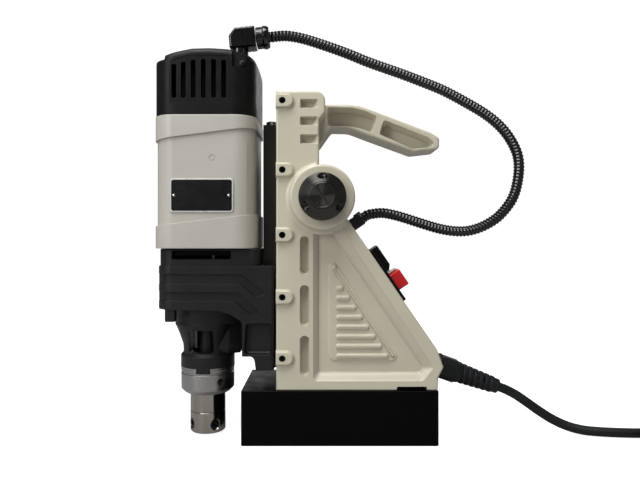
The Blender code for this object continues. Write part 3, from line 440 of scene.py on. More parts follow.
EVEN = (1, 1, 1)
RINGS_Y = (0.02, 1, 0.02)       # stretches noise into rings round the feed shaft
CREAM = material("cast_enamel", linear(190, 184, 164), 0.36, mottle=0.05, patch=18, coat=0.15,
                 bumps=((260, 0.10, EVEN), (1100, 0.03, EVEN)))
SHROUD = material("painted_aluminium", linear(176, 173, 163), 0.42, mottle=0.04, patch=22,
                  bumps=((900, 0.025, EVEN), (2600, 0.02, EVEN)))
CASE_BLACK = material("textured_black_enamel", linear(28, 28, 28), 0.45, mottle=0.2, patch=30,
                      specular=0.3, bumps=((500, 0.05, EVEN), (1700, 0.05, EVEN)))
MAGNET_BLACK = material("magnet_enamel", linear(4, 4, 4), 0.4, mottle=0.4, patch=22, spread=0.09,
                        specular=0.08, bumps=((420, 0.05, EVEN), (1500, 0.03, EVEN)))
NYLON = material("black_nylon", linear(17, 17, 16), 0.44, mottle=0.18, patch=40, specular=0.18,
                 bumps=((2200, 0.05, EVEN),))
GLOSSY_NYLON = material("conduit_nylon", linear(6, 6, 7), 0.16, mottle=0.3, patch=60, specular=0.6,
                        bumps=((1600, 0.02, EVEN),))
RUBBER = material("lead_rubber", linear(24, 26, 28), 0.5, mottle=0.18, patch=50, specular=0.3,
                  bumps=((1300, 0.03, EVEN),))
STEEL_Z = material("ground_steel", linear(158, 152, 145), 0.18, metallic=1, mottle=0.12, patch=160,
                   patch_stretch=(1, 1, 0.08), bumps=((1500, 0.012, (1, 1, 0.05)),),
                   anisotropic=0.6, tangent="Z")
STEEL_RING = material("blasted_steel", linear(160, 158, 155), 0.34, metallic=1, mottle=0.08, patch=500,
                      bumps=((1900, 0.03, EVEN),), anisotropic=0.3, tangent="Z")
HUB_BLACK = material("turned_hub_steel", linear(72, 71, 69), 0.34, metallic=1, mottle=0.16, patch=900,
                     patch_stretch=RINGS_Y, bumps=((2600, 0.006, RINGS_Y),), anisotropic=0.95, tangent="Y")
SLIDE_DARK = material("oiled_steel", linear(42, 40, 36), 0.38, metallic=0.7, mottle=0.2, patch=60,
                      patch_stretch=(1, 1, 0.15), bumps=((1500, 0.02, (1, 1, 0.03)),))
SCREW_BLACK = material("black_oxide", linear(38, 38, 40), 0.32, metallic=0.8, mottle=0.2, patch=200,
                       bumps=((1800, 0.02, EVEN),))
BRIGHT = material("bright_steel", linear(200, 198, 195), 0.22, metallic=1, mottle=0.08, patch=300,
                  bumps=((1500, 0.015, EVEN),))
COPPER = material("winding_copper", linear(176, 104, 70), 0.34, metallic=1, mottle=0.2, patch=120,
                  bumps=((900, 0.15, (0.1, 0.1, 1)),))
BRONZE = material("bronze", linear(165, 128, 74), 0.36, metallic=1, mottle=0.15, patch=150,
                  bumps=((1400, 0.02, EVEN),))
RESIN = material("potting_resin", linear(26, 25, 24), 0.55, mottle=0.3, patch=60,
                 bumps=((160, 0.2, EVEN), (900, 0.05, EVEN)))
RED = material("red_plastic", linear(196, 26, 30), 0.33, mottle=0.08, patch=60, coat=0.1,
               bumps=((1500, 0.015, EVEN),))
GREEN = material("green_plastic", linear(30, 130, 62), 0.33, mottle=0.08, patch=60, coat=0.1,
                 bumps=((1500, 0.015, EVEN),))
PALE = material("pale_plastic", linear(206, 200, 180), 0.4, mottle=0.06, patch=60,
                bumps=((1500, 0.015, EVEN),))
BOARD = material("circuit_board", linear(24, 92, 52), 0.4, mottle=0.35, patch=260,
                 bumps=((700, 0.06, EVEN),))
LABEL_BLACK = material("label_field", linear(12, 12, 13), 0.35, mottle=0.1, patch=80, specular=0.3,
                       bumps=((1400, 0.008, EVEN),))
LABEL_PALE = material("label_border", linear(214, 213, 208), 0.32, metallic=0.4, mottle=0.06, patch=80,
                      bumps=((1400, 0.008, EVEN),))


# ---------------------------------------------------------------- camera, floor and light

CAMERA_PLACE = (-17, -542, 177)
FLOOR_HEIGHT = -0.4
FLOOR_GLOW = 0.92
AMBIENT = 0.19


def add_camera():
    data = bpy.data.cameras.new("camera")
    data.sensor_width = 36
    data.lens = 32.8
    data.clip_start = 0.01
    made = bpy.data.objects.new("camera", data)
    made.location = Vector(CAMERA_PLACE) * MM
    made.rotation_euler = (math.radians(90), 0, 0)
    bpy.context.scene.collection.objects.link(made)
    bpy.context.scene.camera = made


def add_floor():
    """A pale floor that turns up into a backdrop far behind."""
    half, bend, back, top = 4000, 500, 3000, 3500
    profile = [(-half, FLOOR_HEIGHT), (back - bend, FLOOR_HEIGHT)]
    for step in range(1, 9):
        turn = math.pi / 2 * step / 8
        profile.append((back - bend + bend * math.sin(turn), bend - bend * math.cos(turn)))
    profile.append((back, top))
    bm = bmesh.new()
    rows = [[bm.verts.new(Vector((x, y, z)) * MM) for x in (-half, half)] for y, z in profile]
    for first, second in zip(rows, rows[1:]):
        bm.faces.new((first[0], first[1], second[1], second[0]))
    floor = mesh_object("floor", bm)
    floor.data.shade_smooth()
    surface = material("studio_floor", (0.4, 0.4, 0.4), 0.8, mottle=0.01, patch=3,
                       bumps=((300, 0.02, EVEN),), specular=0.1)
    nodes, links = surface.node_tree.nodes, surface.node_tree.links
    glow = nodes.new("ShaderNodeEmission")
    glow.inputs["Strength"].default_value = FLOOR_GLOW
    both = nodes.new("ShaderNodeAddShader")
    rays = nodes.new("ShaderNodeLightPath")
    choice = nodes.new("ShaderNodeMixShader")
    links.new(nodes["Principled BSDF"].outputs["BSDF"], both.inputs[0])
    links.new(glow.outputs["Emission"], both.inputs[1])
    links.new(rays.outputs["Is Camera Ray"], choice.inputs["Fac"])
    links.new(nodes["Principled BSDF"].outputs["BSDF"], choice.inputs[1])
    links.new(both.outputs["Shader"], choice.inputs[2])
    links.new(choice.outputs["Shader"], nodes["Material Output"].inputs["Surface"])
    floor.data.materials.append(surface)


def add_light(name, place, target, size, power):
    data = bpy.data.lights.new(name, "AREA")
    data.shape = "RECTANGLE"
    data.size, data.size_y = (value * MM for value in size)
    data.energy = power
    made = bpy.data.objects.new(name, data)
    made.location = Vector(place) * MM
    made.rotation_euler = (Vector(target) - Vector(place)).to_track_quat("-Z", "Y").to_euler()
    bpy.context.scene.collection.objects.link(made)
    return made


def add_world():
    """White to the camera, and a dimmer grey to everything else."""
    world = bpy.data.worlds.new("studio")
    world.use_nodes = True
    nodes, links = world.node_tree.nodes, world.node_tree.links
    ambient = nodes["Background"]
    ambient.inputs["Color"].default_value = (0.98, 0.99, 1, 1)
    ambient.inputs["Strength"].default_value = AMBIENT
    seen = nodes.new("ShaderNodeBackground")
    seen.inputs["Color"].default_value = (1, 1, 1, 1)
    rays = nodes.new("ShaderNodeLightPath")
    choice = nodes.new("ShaderNodeMixShader")
    links.new(rays.outputs["Is Camera Ray"], choice.inputs["Fac"])
    links.new(ambient.outputs["Background"], choice.inputs[1])
    links.new(seen.outputs["Background"], choice.inputs[2])
    links.new(choice.outputs["Shader"], nodes["World Output"].inputs["Surface"])
    bpy.context.scene.world = world
    bpy.context.scene.view_settings.view_transform = "Standard"


add_camera()
add_floor()
add_world()
add_light("overhead", (-300, -500, 1500), (0, 0, 120), (1100, 900), 25)
add_light("key_left", (-1000, -1150, 750), (-40, 0, 170), (450, 900), 9.5)
add_light("front_right", (1200, -1100, 500), (0, 0, 170), (300, 900), 0.6)
add_light("rear_fill", (300, 1500, 900), (0, 0, 200), (1500, 900), 5)


# ---------------------------------------------------------------- cords

LEAD_DIAMETER = 8.5
LEAD_ROOT = Vector((86, 0, 63.2))
LEAD_DIRECTION = Vector((62, 0, -22.2)).normalized()
RELIEF_LENGTH = 65.8
RELIEF_RIBS = 6
COIL_CENTRE = (320, -75)
COIL_PITCH = 8.6
COIL_INNER = 34.6               # the innermost column's radius
COIL_STEPS = 72 * 7
FLOOR_GAP = 0.05
# (turns made, column from the inside, layer) where the winding changes place
COIL_MOVES = (
    (0, 4, 1), (0.75, 4, 1), (0.90, 3, 1), (1.75, 3, 1), (1.90, 2, 1), (2.75, 2, 1), (2.90, 1, 1),
    (3.55, 1, 1), (3.70, 1, 2), (4.35, 1, 2), (4.50, 2, 2), (5.35, 2, 2), (5.50, 3, 2), (6.35, 3, 2),
    (6.50, 4, 2), (7.25, 4, 2),
)
PLUG_ENTRY = Vector((337, -115.5, 36.7))
PLUG_AXIS = (-1, 0, 0)
PLUG_LENGTH = 52
TAIL_ROUTE = [
    (378.6, -88, 14), (372.6, -99.5, 18), (362.5, -109, 24), (351, -114, 30.5), (343, -115.4, 34.8),
]
LEAD_ROUTE = [
    (150.5, 0, 40.1), (156, 0, 37.9), (165, -0.6, 33.2), (175, -1.8, 26.4), (185, -3.6, 19.4),
    (196, -6, 12.6), (208, -9, 7.4), (221, -13, 4.7), (234, -16.5, 4.3), (248, -19, 4.3), (262, -20.2, 4.3),
    (274, -20.2, 4.3), (287, -19, 4.3), (300, -17, 4.3),
]
ELBOW_START = Vector((-101, 0, 361.7))
ELBOW_DIRECTION = Vector((math.cos(0.1), 0, math.sin(0.1)))
ELBOW_UP = Vector((-math.sin(0.1), 0, math.cos(0.1)))
CONDUIT_ROUTE = [
    (-48.6, 366.6), (-32.8, 364), (-12, 357.5), (8.8, 350), (29.6, 341.6), (58, 331.6), (78, 324),
    (97.5, 316), (117, 305.7), (136.6, 294), (151, 282), (161, 268.6), (167, 254), (167.4, 237),
    (162.5, 217), (151, 201), (137.7, 191.4), (123, 186), (108.5, 185.2), (92.8, 187.8), (74.5, 193.3),
    (56.3, 199), (42, 202), (31, 201.2),
]
CONDUIT_PITCH = 3.1
CONDUIT_SAMPLES = 6            # rings of the mesh in one corrugation


def coil_point(turns):
    """Where the wound lead is after some turns, clockwise from its highest Y."""
    for (start, column, layer), (end, next_column, next_layer) in zip(COIL_MOVES, COIL_MOVES[1:]):
        if turns <= end:
            break
    share = (turns - start) / (end - start)
    share = share * share * (3 - 2 * share)
    radius = COIL_INNER + COIL_PITCH * (column - 1 + (next_column - column) * share)
    height = LEAD_DIAMETER / 2 + FLOOR_GAP + COIL_PITCH * (layer - 1 + (next_layer - layer) * share)
    angle = math.pi / 2 - 2 * math.pi * turns
    x, y = COIL_CENTRE
    return Vector((x + radius * math.cos(angle), y + radius * math.sin(angle), height))


def make_lead():
    start = LEAD_ROOT + LEAD_DIRECTION * (RELIEF_LENGTH + 0.6)
    turns = COIL_MOVES[-1][0]
    winding = [coil_point(turns * step / COIL_STEPS) for step in range(COIL_STEPS + 1)]
    tail = smooth_line([winding[-2], winding[-1], *TAIL_ROUTE, PLUG_ENTRY], 5)[5:]
    route = smooth_line([start, *LEAD_ROUTE], 6)[:-1]
    path = [*route, *winding[:-1], *tail]
    lead = tube("mains_lead_cable", path, [LEAD_DIAMETER / 2] * len(path), 16)
    plug = make_plug()
    fit(lead, RUBBER, "lead_rubber", "frame", "mains_lead", "mains_lead_coil")


def make_plug():
    """A round two-pin plug with grip flutes, a sleeve on its lead and rounded pins."""
    body = lathe("plug_body", [
        (0, 0), (5.6, 0, 0.8), (6.2, 14), (8.5, 16, 2), (13, 21, 3), (18.6, 29, 3), (18.9, PLUG_LENGTH, 1.6),
        (0, PLUG_LENGTH),
    ], PLUG_ENTRY, PLUG_AXIS)
    flutes = []
    for step in range(24):
        angle = 2 * math.pi * step / 24
        place = PLUG_ENTRY + Vector((0, math.cos(angle), math.sin(angle))) * 19.6
        groove = [(0, 30), (0.7, 31), (1.0, 34), (1.0, 46), (0.7, 49), (0, 50)]
        flutes.append(lathe("flute", groove, place, PLUG_AXIS, 10))
    cut(body, *flutes)
    fit(body, RUBBER, "lead_rubber", "frame", "mains_plug")
    for number, side in enumerate((-9.5, 9.5), 1):
        foot = PLUG_ENTRY + Vector((-PLUG_LENGTH + 1, side, 0))
        profile = [(0, 0), (2.4, 0), (2.4, 19, 1.4), (1.2, 20), (0, 20)]
        pin = lathe("plug_pin_%d" % number, profile, foot, PLUG_AXIS, 28)
        fit(pin, BRIGHT, "bright_steel", "frame")
    return body


def make_conduit():
    gland_mouth = slope_point(GLAND_DOWN, 14.6)
    start = ELBOW_START + ELBOW_DIRECTION * 34
    middle = [(x, 0, z) for x, z in CONDUIT_ROUTE]
    route = smooth_line([start, start + ELBOW_DIRECTION * 5, *middle, gland_mouth + SLOPE_OUT * 4], 8)
    route.append(gland_mouth)
    path = spaced(route, CONDUIT_PITCH / CONDUIT_SAMPLES)
    radii = []
    for index in range(len(path)):
        phase = (index % CONDUIT_SAMPLES) / CONDUIT_SAMPLES
        radii.append(4.72 + 0.34 * math.cos(2 * math.pi * phase) + 0.06 * math.cos(4 * math.pi * phase))
    conduit = tube("corrugated_conduit", path, radii, 24)
    fit(conduit, GLOSSY_NYLON, "conduit_plastic", None, "flexible_conduit")
    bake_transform(conduit)


make_lead()
make_conduit()


# ---------------------------------------------------------------- frame casting

# (share of the way from the mouth to the floor, share of the depth) down a pocket's sloping wall
POCKET_WALL = (
    (-0.1, -0.2), (-0.1, 0), (-0.04, 0.02), (0.03, 0.09), (0.12, 0.2), (0.6, 0.48), (0.84, 0.74), (0.93, 0.9),
    (1, 1),
)


def pocket(name, mouth, floor, surface, inward, depth):
    """A cutter with sloping walls, from its outline at a side's surface to the one on its floor."""
    top, bottom = rounded(mouth), rounded(floor)
    rings = []
    for share, sink in POCKET_WALL:
        level = surface + inward * depth * sink
        rings.append([on_y(*a.lerp(b, share), level) for a, b in zip(top, bottom)])
    return loft(name, rings)


SIDE_MOUTH = [
    (-22.6, 56.2, 3), (71.5, 56.2, 5), (80.2, 67.6, 3), (-0.3, 188.8, 4), (-9, 193, 3), (-22.6, 193, 4),
]
SIDE_FLOOR = [
    (-18.2, 62.8, 2), (68.5, 62.8, 3), (72.3, 65.8, 2.4), (-6.6, 181.5, 3), (-10, 182.5, 2),
    (-18.2, 182.5, 3),
]
PLATEAU = [(-8.6, 73.2, 4), (51.5, 73.2, 3), (-4, 156.5, 2.4), (-8.6, 156.5, 2.4)]
RIDGE = ((-4.4, 151.5), (46.5, 76.3))
LOUVRES = ((298, 290.2), (283, 275.4), (267.6, 259.6))          # tops and bottoms
SLOTS = ((180.3, 147), (138.2, 102.9), (94.8, 60.2))
RIBS = 8
RIB_FRONT = -3.4
RIB_TOP = 135.1
RIB_PITCH = 8.37
RIB_HALF = 2.5
RIB_SHORTEST = 7
RIB_GROWTH = 5.55               # how much longer each rib is than the one above


def side_cutters(side):
    """The recess, louvres and slots of one side; side is -1 for the near one."""
    surface, inward = side * HALF_WIDTH, -side
    tools = [pocket("recess", SIDE_MOUTH, SIDE_FLOOR, surface, inward, RECESS_DEPTH)]
    for top, bottom in LOUVRES:
        mouth = rectangle((-34, bottom), (-18.8, top), 1)
        floor = [(-32.4, bottom + 2, 0.8), (-25.2, bottom + 2, 0.8), (-20.4, top - 1, 0.8),
                 (-33, top - 1, 0.8)]
        tools.append(pocket("louvre", mouth, floor, surface, inward, 7))
    for top, bottom in SLOTS:
        mouth = rectangle((-34.3, bottom), (-26.3, top), 3.9)
        floor = rectangle((-33, bottom + 1.6), (-27.6, top - 1.2), 2.6)
        tools.append(pocket("slot", mouth, floor, surface, inward, 8))
    return tools


def side_relief(side):
    """The raised triangle on a recess floor, with its ridge and its ribs."""
    floor = side * (HALF_WIDTH - RECESS_DEPTH)

    def levels(base, *steps):
        return [(base + side * height, growth) for height, growth in steps]

    pieces = [solid("plateau", PLATEAU,
                    levels(floor, (-1, 2.2), (0, 1.6), (0.5, 0.7), (1.1, 0.2), (1.4, -0.4)), on_y)]
    start, end = Vector(RIDGE[0]), Vector(RIDGE[1])
    along = (end - start).normalized()
    across = Vector((-along.y, along.x))
    spots = (start - across * 0.8, end - across * 0.8, end + across * 0.8, start + across * 0.8)
    top = floor + side * 1.2
    pieces.append(solid("ridge", [(*spot, 0.7) for spot in spots],
                        levels(top, (0, 0.4), (0.7, 0.1), (1.2, -0.35)), on_y))
    pieces.append(lathe("knob", [(0, -1), (3, -1), (2.7, 0.8, 0.6), (1.4, 1.7, 0.6), (0, 1.9)],
                        (-5, top, 153.2), (0, side, 0), 36))
    round_top = levels(top, (0, 0.3), (0.8, -0.1), (1.4, -0.5), (1.85, -1.1), (2.1, -1.7), (2.2, -2.2))
    for index in range(RIBS):
        height = RIB_TOP - index * RIB_PITCH
        back = RIB_FRONT + RIB_SHORTEST + RIB_GROWTH * index
        corners = rectangle((RIB_FRONT, height - RIB_HALF), (back, height + RIB_HALF), RIB_HALF - 0.05)
        pieces.append(solid("rib", corners, round_top, on_y))
    return pieces


def screw_lug(height):
    half = 5.7
    corners = [(COLUMN_FRONT, height - half), (-40, height - half, half - 0.1),
               (-40, height + half, half - 0.1), (COLUMN_FRONT, height + half)]
    levels = [(-HALF_WIDTH + 2, 0.9), (-HALF_WIDTH, 0.9), (-HALF_WIDTH - 0.7, 0.4)]
    levels += rim(-HALF_WIDTH - LUG_PROUD, 1, 1.3)[::-1]

    def held_back(x, z, y):
        return on_y(max(x, COLUMN_FRONT - 0.25), z, y)

    return solid("lug", corners, levels, held_back)


def dovetail_half(x):
    """Half the width of the slide's dovetail at a place along X."""
    return 12 + (x + 56) * 7 / 15


FRAME_PROFILE = [
    (COLUMN_FRONT, FRAME_BASE), (84.2, FRAME_BASE), (84.8, 58.9), HEEL, HEEL_TOP, (COLUMN_NECK, 230.7, 5),
    (COLUMN_NECK, 280.5, 3), (COLUMN_BACK, 286.5, 3), (COLUMN_BACK, COLUMN_TOP, 8),
    (COLUMN_FRONT, COLUMN_TOP),
]
FLARE_LIMIT = [
    (COLUMN_FRONT, FRAME_BASE), (84.2, FRAME_BASE), HEEL[:2], HEEL_TOP[:2], (COLUMN_NECK, 230.7),
    (COLUMN_NECK, 300), (COLUMN_FRONT, 300),
]


def boss_flare(side):
    """The fillet where the feed boss meets a side."""
    profile = [(0, 36), (BOSS_RADIUS + 4, 36), (BOSS_RADIUS + 4, 42.1), (BOSS_RADIUS + 2.2, 42.5),
               (BOSS_RADIUS + 1, 43.4), (BOSS_RADIUS + 0.3, 44.8), (0, 44.8)]
    flare = on_feed("flare", [(radius, side * y) for radius, y in profile])
    return common(flare, solid("flare_limit", FLARE_LIMIT, [(-60, -2.2), (60, -2.2)], on_y))


def make_frame():
    body = solid("frame_casting_skin", FRAME_PROFILE, walls(-HALF_WIDTH, HALF_WIDTH, 1.9, 1.9), on_y)
    cut(body, *side_cutters(-1), *side_cutters(1))
    boss = on_feed("boss", [
        (0, BOSS_NEAR), (BOSS_RADIUS, BOSS_NEAR, 2.4), (BOSS_RADIUS, BOSS_FAR, 2.4), (0, BOSS_FAR),
    ])
    flares = [boss_flare(side) for side in (-1, 1)]
    lugs = [screw_lug(height) for height in GIB_SCREW_HEIGHTS]
    join(body, boss, *flares, *side_relief(-1), *side_relief(1), *lugs)

    mouth, back = -60, -40.6
    full_height = walls(FRAME_BASE - 5, COLUMN_TOP + 5)
    channel = solid("channel", [
        (mouth, -dovetail_half(mouth) - 3.2), (back, -dovetail_half(back) - 3.2),
        (back, dovetail_half(back) + 0.35), (mouth, dovetail_half(mouth) + 0.35),
    ], full_height)
    rack_way = solid("rack_way", box_outline(-43, -23.5, 9, 1.5), full_height)
    pinion_room = on_feed("pinion_room", [(0, -9), (12.8, -9), (12.8, 9), (0, 9)], 40)
    shaft_bore = on_feed("shaft_bore", [
        (0, -60), (11.3, -60), (11.3, -38), (8.4, -38), (8.4, 30), (11.3, 30), (11.3, 51), (0, 51),
    ], 48)
    cavity = solid("cavity", [(-8, 54), (76, 54), (79, 68), (75.3, 84.4), (0.7, 193.2), (-8, 186)],
                   walls(-31, 31), on_y)
    opening = solid("opening", box_outline(60, 160, 26, 4), walls(-14, 5), on_slope)
    seat = solid("seat", box_outline(55, 165, 30, 4), walls(-3.3, 5), on_slope)
    wire_bore = [(0, -14), (4.6, -14), (4.6, 5), (0, 5)]
    wire_hole = lathe("wire_hole", wire_bore, slope_point(GLAND_DOWN), SLOPE_OUT, 32)
    lead_hole = lathe("lead_hole", [(0, -20), (7, -20), (7, 10), (0, 10)], LEAD_ROOT, LEAD_DIRECTION, 32)
    notch_top = FRAME_BASE + 3.4
    notch = solid("notch", [(49, 40), (75, 40), (75, notch_top, 1), (49, notch_top, 1)], walls(-60, 60), on_y)
    screw_bore = [(0, -60), (2.9, -60), (2.9, -15), (0, -15)]
    holes = [lathe("gib_hole", screw_bore, (GIB_SCREW_X, 0, height), (0, 1, 0), 32)
             for height in GIB_SCREW_HEIGHTS]
    cut(body, channel, rack_way, pinion_room, shaft_bore, cavity, opening, seat, wire_hole, lead_hole, notch,
        *holes)
    fit(body, CREAM, "cream_enamel", "frame", "frame_casting")


HANDLE_HALF = 16.5
HANDLE_POCKET_DEPTH = 12.5
# (mouth, floor) of the front pocket and of the rear one
HANDLE_POCKETS = (
    ([(-10.2, 279.4, 3), (7.9, 279.2, 6), (18.5, 277.8, 6), (30.2, 273.4, 2.4), (34.3, 288.6, 2.4),
      (23.8, 293.2, 6), (13.2, 296, 6), (-10.2, 296.3, 2.4)],
     [(-8.4, 281.6, 2), (8.1, 281.4, 4), (19, 280, 4), (29.2, 276.2, 1.6), (31.8, 287.4, 1.6),
      (23.2, 290.9, 4), (13, 293.3, 4), (-8.4, 293.6, 1.6)]),
    ([(36.4, 272.6, 2.4), (67.4, 258.6, 3), (82.9, 260.6, 2.4), (85.7, 264.6, 1.6), (80.2, 269.6, 3),
      (40.6, 285.2, 2.4)],
     [(38.6, 274, 1.6), (67.6, 261, 2), (81.4, 262.6, 1.6), (82.6, 264.6, 1), (79, 267.4, 2),
      (42, 281.6, 1.6)]),
)


def make_handle():
    """The open-ended carrying handle, with two deep pockets in each side."""
    root = COLUMN_NECK - 1.5
    body = solid("carry_handle_skin", [
        (root, 261.5), (-17, 263), (-8.9, 274.6, 5), (-6, 278), (9.4, 277.7, 22), (28.6, 270.4, 12),
        (67.6, 256.2, 2.6), (90.8, 258.8, 4.4), (90.8, 269.5, 4), (82.3, 274.4, 14), (29.1, 294.6, 14),
        (18.5, 298.3, 14), (7.9, 299.4, 8), (root, 299.4),
    ], walls(-HANDLE_HALF, HANDLE_HALF, 2.2, 2.2), on_y)
    cut(body, *[pocket("pocket", mouth, floor, side * HANDLE_HALF, -side, HANDLE_POCKET_DEPTH)
                for side in (-1, 1) for mouth, floor in HANDLE_POCKETS])
    fit(body, CREAM, "cream_enamel", "frame", "carry_handle")


OVER_CORNERS = 1.155               # a hexagon's width over its corners, for a width across flats of 1


def hex_socket(base, axis, levels, side=None):
    """A six-sided cutter along an axis, through (depth, half width across flats) levels."""
    base, axis = Vector(base), Vector(axis)
    side = Vector(side) if side else axis.orthogonal().normalized()
    other = axis.cross(side)
    rings = []
    for level, half in levels:
        ring = []
        for step in range(6):
            angle = math.pi / 3 * step
            corner = side * math.cos(angle) + other * math.sin(angle)
            ring.append(base + axis * level + corner * half * OVER_CORNERS)
        rings.append(ring)
    return loft("socket", rings)


def hex_screw(name, radius, base, axis, length, key, body, node):
    """A set screw with a chamfered end, a hex socket and a dimple at the socket's foot."""
    made = lathe(name, [(0, 0), (radius - 0.5, 0), (radius, 0.5), (radius, length), (0, length)],
                 base, axis, 40)
    cut(made, hex_socket(base, axis, ((-1, key), (2.6, key), (3.4, 0.3))))
    fit(made, SCREW_BLACK, "black_screw", body, node)


def make_gib_screws():
    face = -HALF_WIDTH - LUG_PROUD + 1.6
    for number, height in enumerate(GIB_SCREW_HEIGHTS, 1):
        node = "gib_screw_%d" % number
        hex_screw(node + "_fine", 2.7, (GIB_SCREW_X, face, height), (0, 1, 0), 20, 1.4, "frame", node)


def make_end_cap():
    base = BOSS_FAR + 0.3
    cap = on_feed("feed_end_cap_fine", [(0, 4), (17.5, 4, 1.5), (20, 2, 1), (20, 0), (0, 0)], base=base)
    cut(cap, on_feed("ring", [(13.2, 5), (13.2, 3.2), (14.2, 3.2), (14.2, 5)], base=base))
    fit(cap, NYLON, "switch_plastic", "frame", "feed_end_cap")


SPOKES = 3
SPOKE_THREADS = 7
CROSS_ANGLES = (58, 122)


def spoke_hole(index, seat):
    """A threaded hole that leans into the hub's cone."""
    angle = math.pi / 2 + index * 2 * math.pi / SPOKES
    outward = Vector((math.cos(angle), 0, math.sin(angle)))
    mouth = Vector((FEED_X, seat - 11, FEED_Z)) + outward * 15.6
    drill = (outward * 9 + Vector((0, -7.3, 0))).normalized()
    thread = [(0, -7.5), (2.9, -7.5)]
    for step in range(SPOKE_THREADS):
        thread += [(2.9, -7.2 + step), (3.4, -6.7 + step)]
    return lathe("spoke_hole", [*thread, (3.4, -0.8), (4.1, 0), (4.4, 8), (0, 8)], mouth, drill, 36)


def make_hub():
    """The cone that the three spokes screw into, and its cap with a fine cross."""
    seat = HUB_HIGH.y
    depth = seat - HUB_LOW.y
    hub = on_feed("feed_hub_fine", [
        (0, depth), (11.4, depth, 0.4), (12.2, depth - 0.6), (18.9, depth - 8.0, 0.4),
        (19.8, depth - 8.8, 0.5),
        (19.8, 0), (8.4, 0), (8.4, depth - 1), (0, depth - 1),
    ], 120, seat, -1)
    cut(hub, *[spoke_hole(index, seat) for index in range(SPOKES)])
    fit(hub, HUB_BLACK, "black_screw", "feed", "feed_hub")
    base = HUB_CAP_HIGH.y
    tall = base - HUB_CAP_LOW.y
    cap = on_feed("hub_cap_fine", [
        (0, tall - 0.4), (9.4, tall - 0.4), (9.8, tall, 0.1), (10.5, tall - 0.5, 0.3), (10.7, tall - 1.2),
        (10.7, 0), (0, 0),
    ], base=base, side=-1)
    bars = []
    centre = Vector((FEED_X, FEED_Z))
    levels = [(base - tall + 0.8, 0), (base - tall - 0.1, 0), (base - tall - 0.25, -0.2)]
    for angle in CROSS_ANGLES:
        turn = math.radians(angle)
        along = Vector((math.cos(turn), math.sin(turn)))
        across = Vector((-along.y, along.x))
        corners = [centre + along * 9 * a + across * 0.35 * b
                   for a, b in ((-1, -1), (1, -1), (1, 1), (-1, 1))]
        bars.append(solid("cross", corners, levels, on_y))
    join(cap, *bars)
    fit(cap, HUB_BLACK, "switch_plastic", "feed", "hub_cap")


make_frame()
make_handle()
make_gib_screws()
make_end_cap()
make_hub()


# ---------------------------------------------------------------- magnet, rear cover and switches

def make_magnet():
    """The magnet's shell round the two winding grooves of its face, with rounded edges."""
    body = solid("magnet_body_fine", rectangle(MAGNET_LOW, MAGNET_HIGH, 1.6),
                 walls(MAGNET_LOW.z, MAGNET_HIGH.z, 0.8, 1.1))
    tools = []
    for place in (-41, 41):
        outer = rounded(box_outline(place - 32, place + 32, 30, 8))
        inner = rounded(box_outline(place - 18, place + 18, 16, 4))
        rings = [[on_z(*point, height) for point in outline] for outline, height in
                 ((outer, -2), (outer, 34), (inner, 34), (inner, -2))]
        tools.append(loft("groove", rings, closed=True))
    cut(body, *tools)
    fit(body, MAGNET_BLACK, "base_enamel", "frame", "magnet_body")


def slope_solid(name, down, across, out, radius=1.0, edge=0.6, foot=0.0):
    return solid(name, rectangle((down[0], across[0]), (down[1], across[1]), radius),
                 walls(out[0], out[1], foot, edge), on_slope)


def make_rear_cover():
    cover = slope_solid("rear_cover_fine", (55.3, 164.7), (-29.7, 29.7), (-3, 0), 3.6, 0.7)
    window = slope_solid("window", (72.4, 118), (-21.5, 21.5), (-10, 5), 1)
    screws = [(down, across) for down in (59.8, 160.2) for across in (-25, 25)]
    sink = [(0, -1.9), (2.6, -1.9), (4.2, 0.3), (0, 0.3)]
    sinks = [lathe("sink", sink, slope_point(down, 0, across), SLOPE_OUT, 32) for down, across in screws]
    cut(cover, window, *sinks)
    fit(cover, CREAM, "cream_enamel", "frame", "rear_cover")
    profile = [(0, -1.8), (2.4, -1.8), (3.7, -0.3), (3.4, 0.2, 0.2), (0, 0.7)]
    for number, (down, across) in enumerate(screws, 1):
        head = lathe("cover_screw_%d" % number, profile, slope_point(down, 0, across), SLOPE_OUT, 32)
        slots = [slope_solid("slot", (down - a, down + a), (across - b, across + b), (-0.9, 2), 0.1, 0)
                 for a, b in ((2, 0.4), (0.4, 2))]
        cut(head, *slots)
        fit(head, SCREW_BLACK, "black_screw", "frame")


def slope_extrusion(name, profile, half, radius):
    """A (down, out) profile on the rear face, made wide to both sides of the middle plane."""
    points = rounded(profile)
    rings = []
    for across, growth in walls(-half, half, radius, radius):
        rings.append([slope_point(point.x, point.y, across) for point in grown(points, growth)])
    return loft(name, rings)


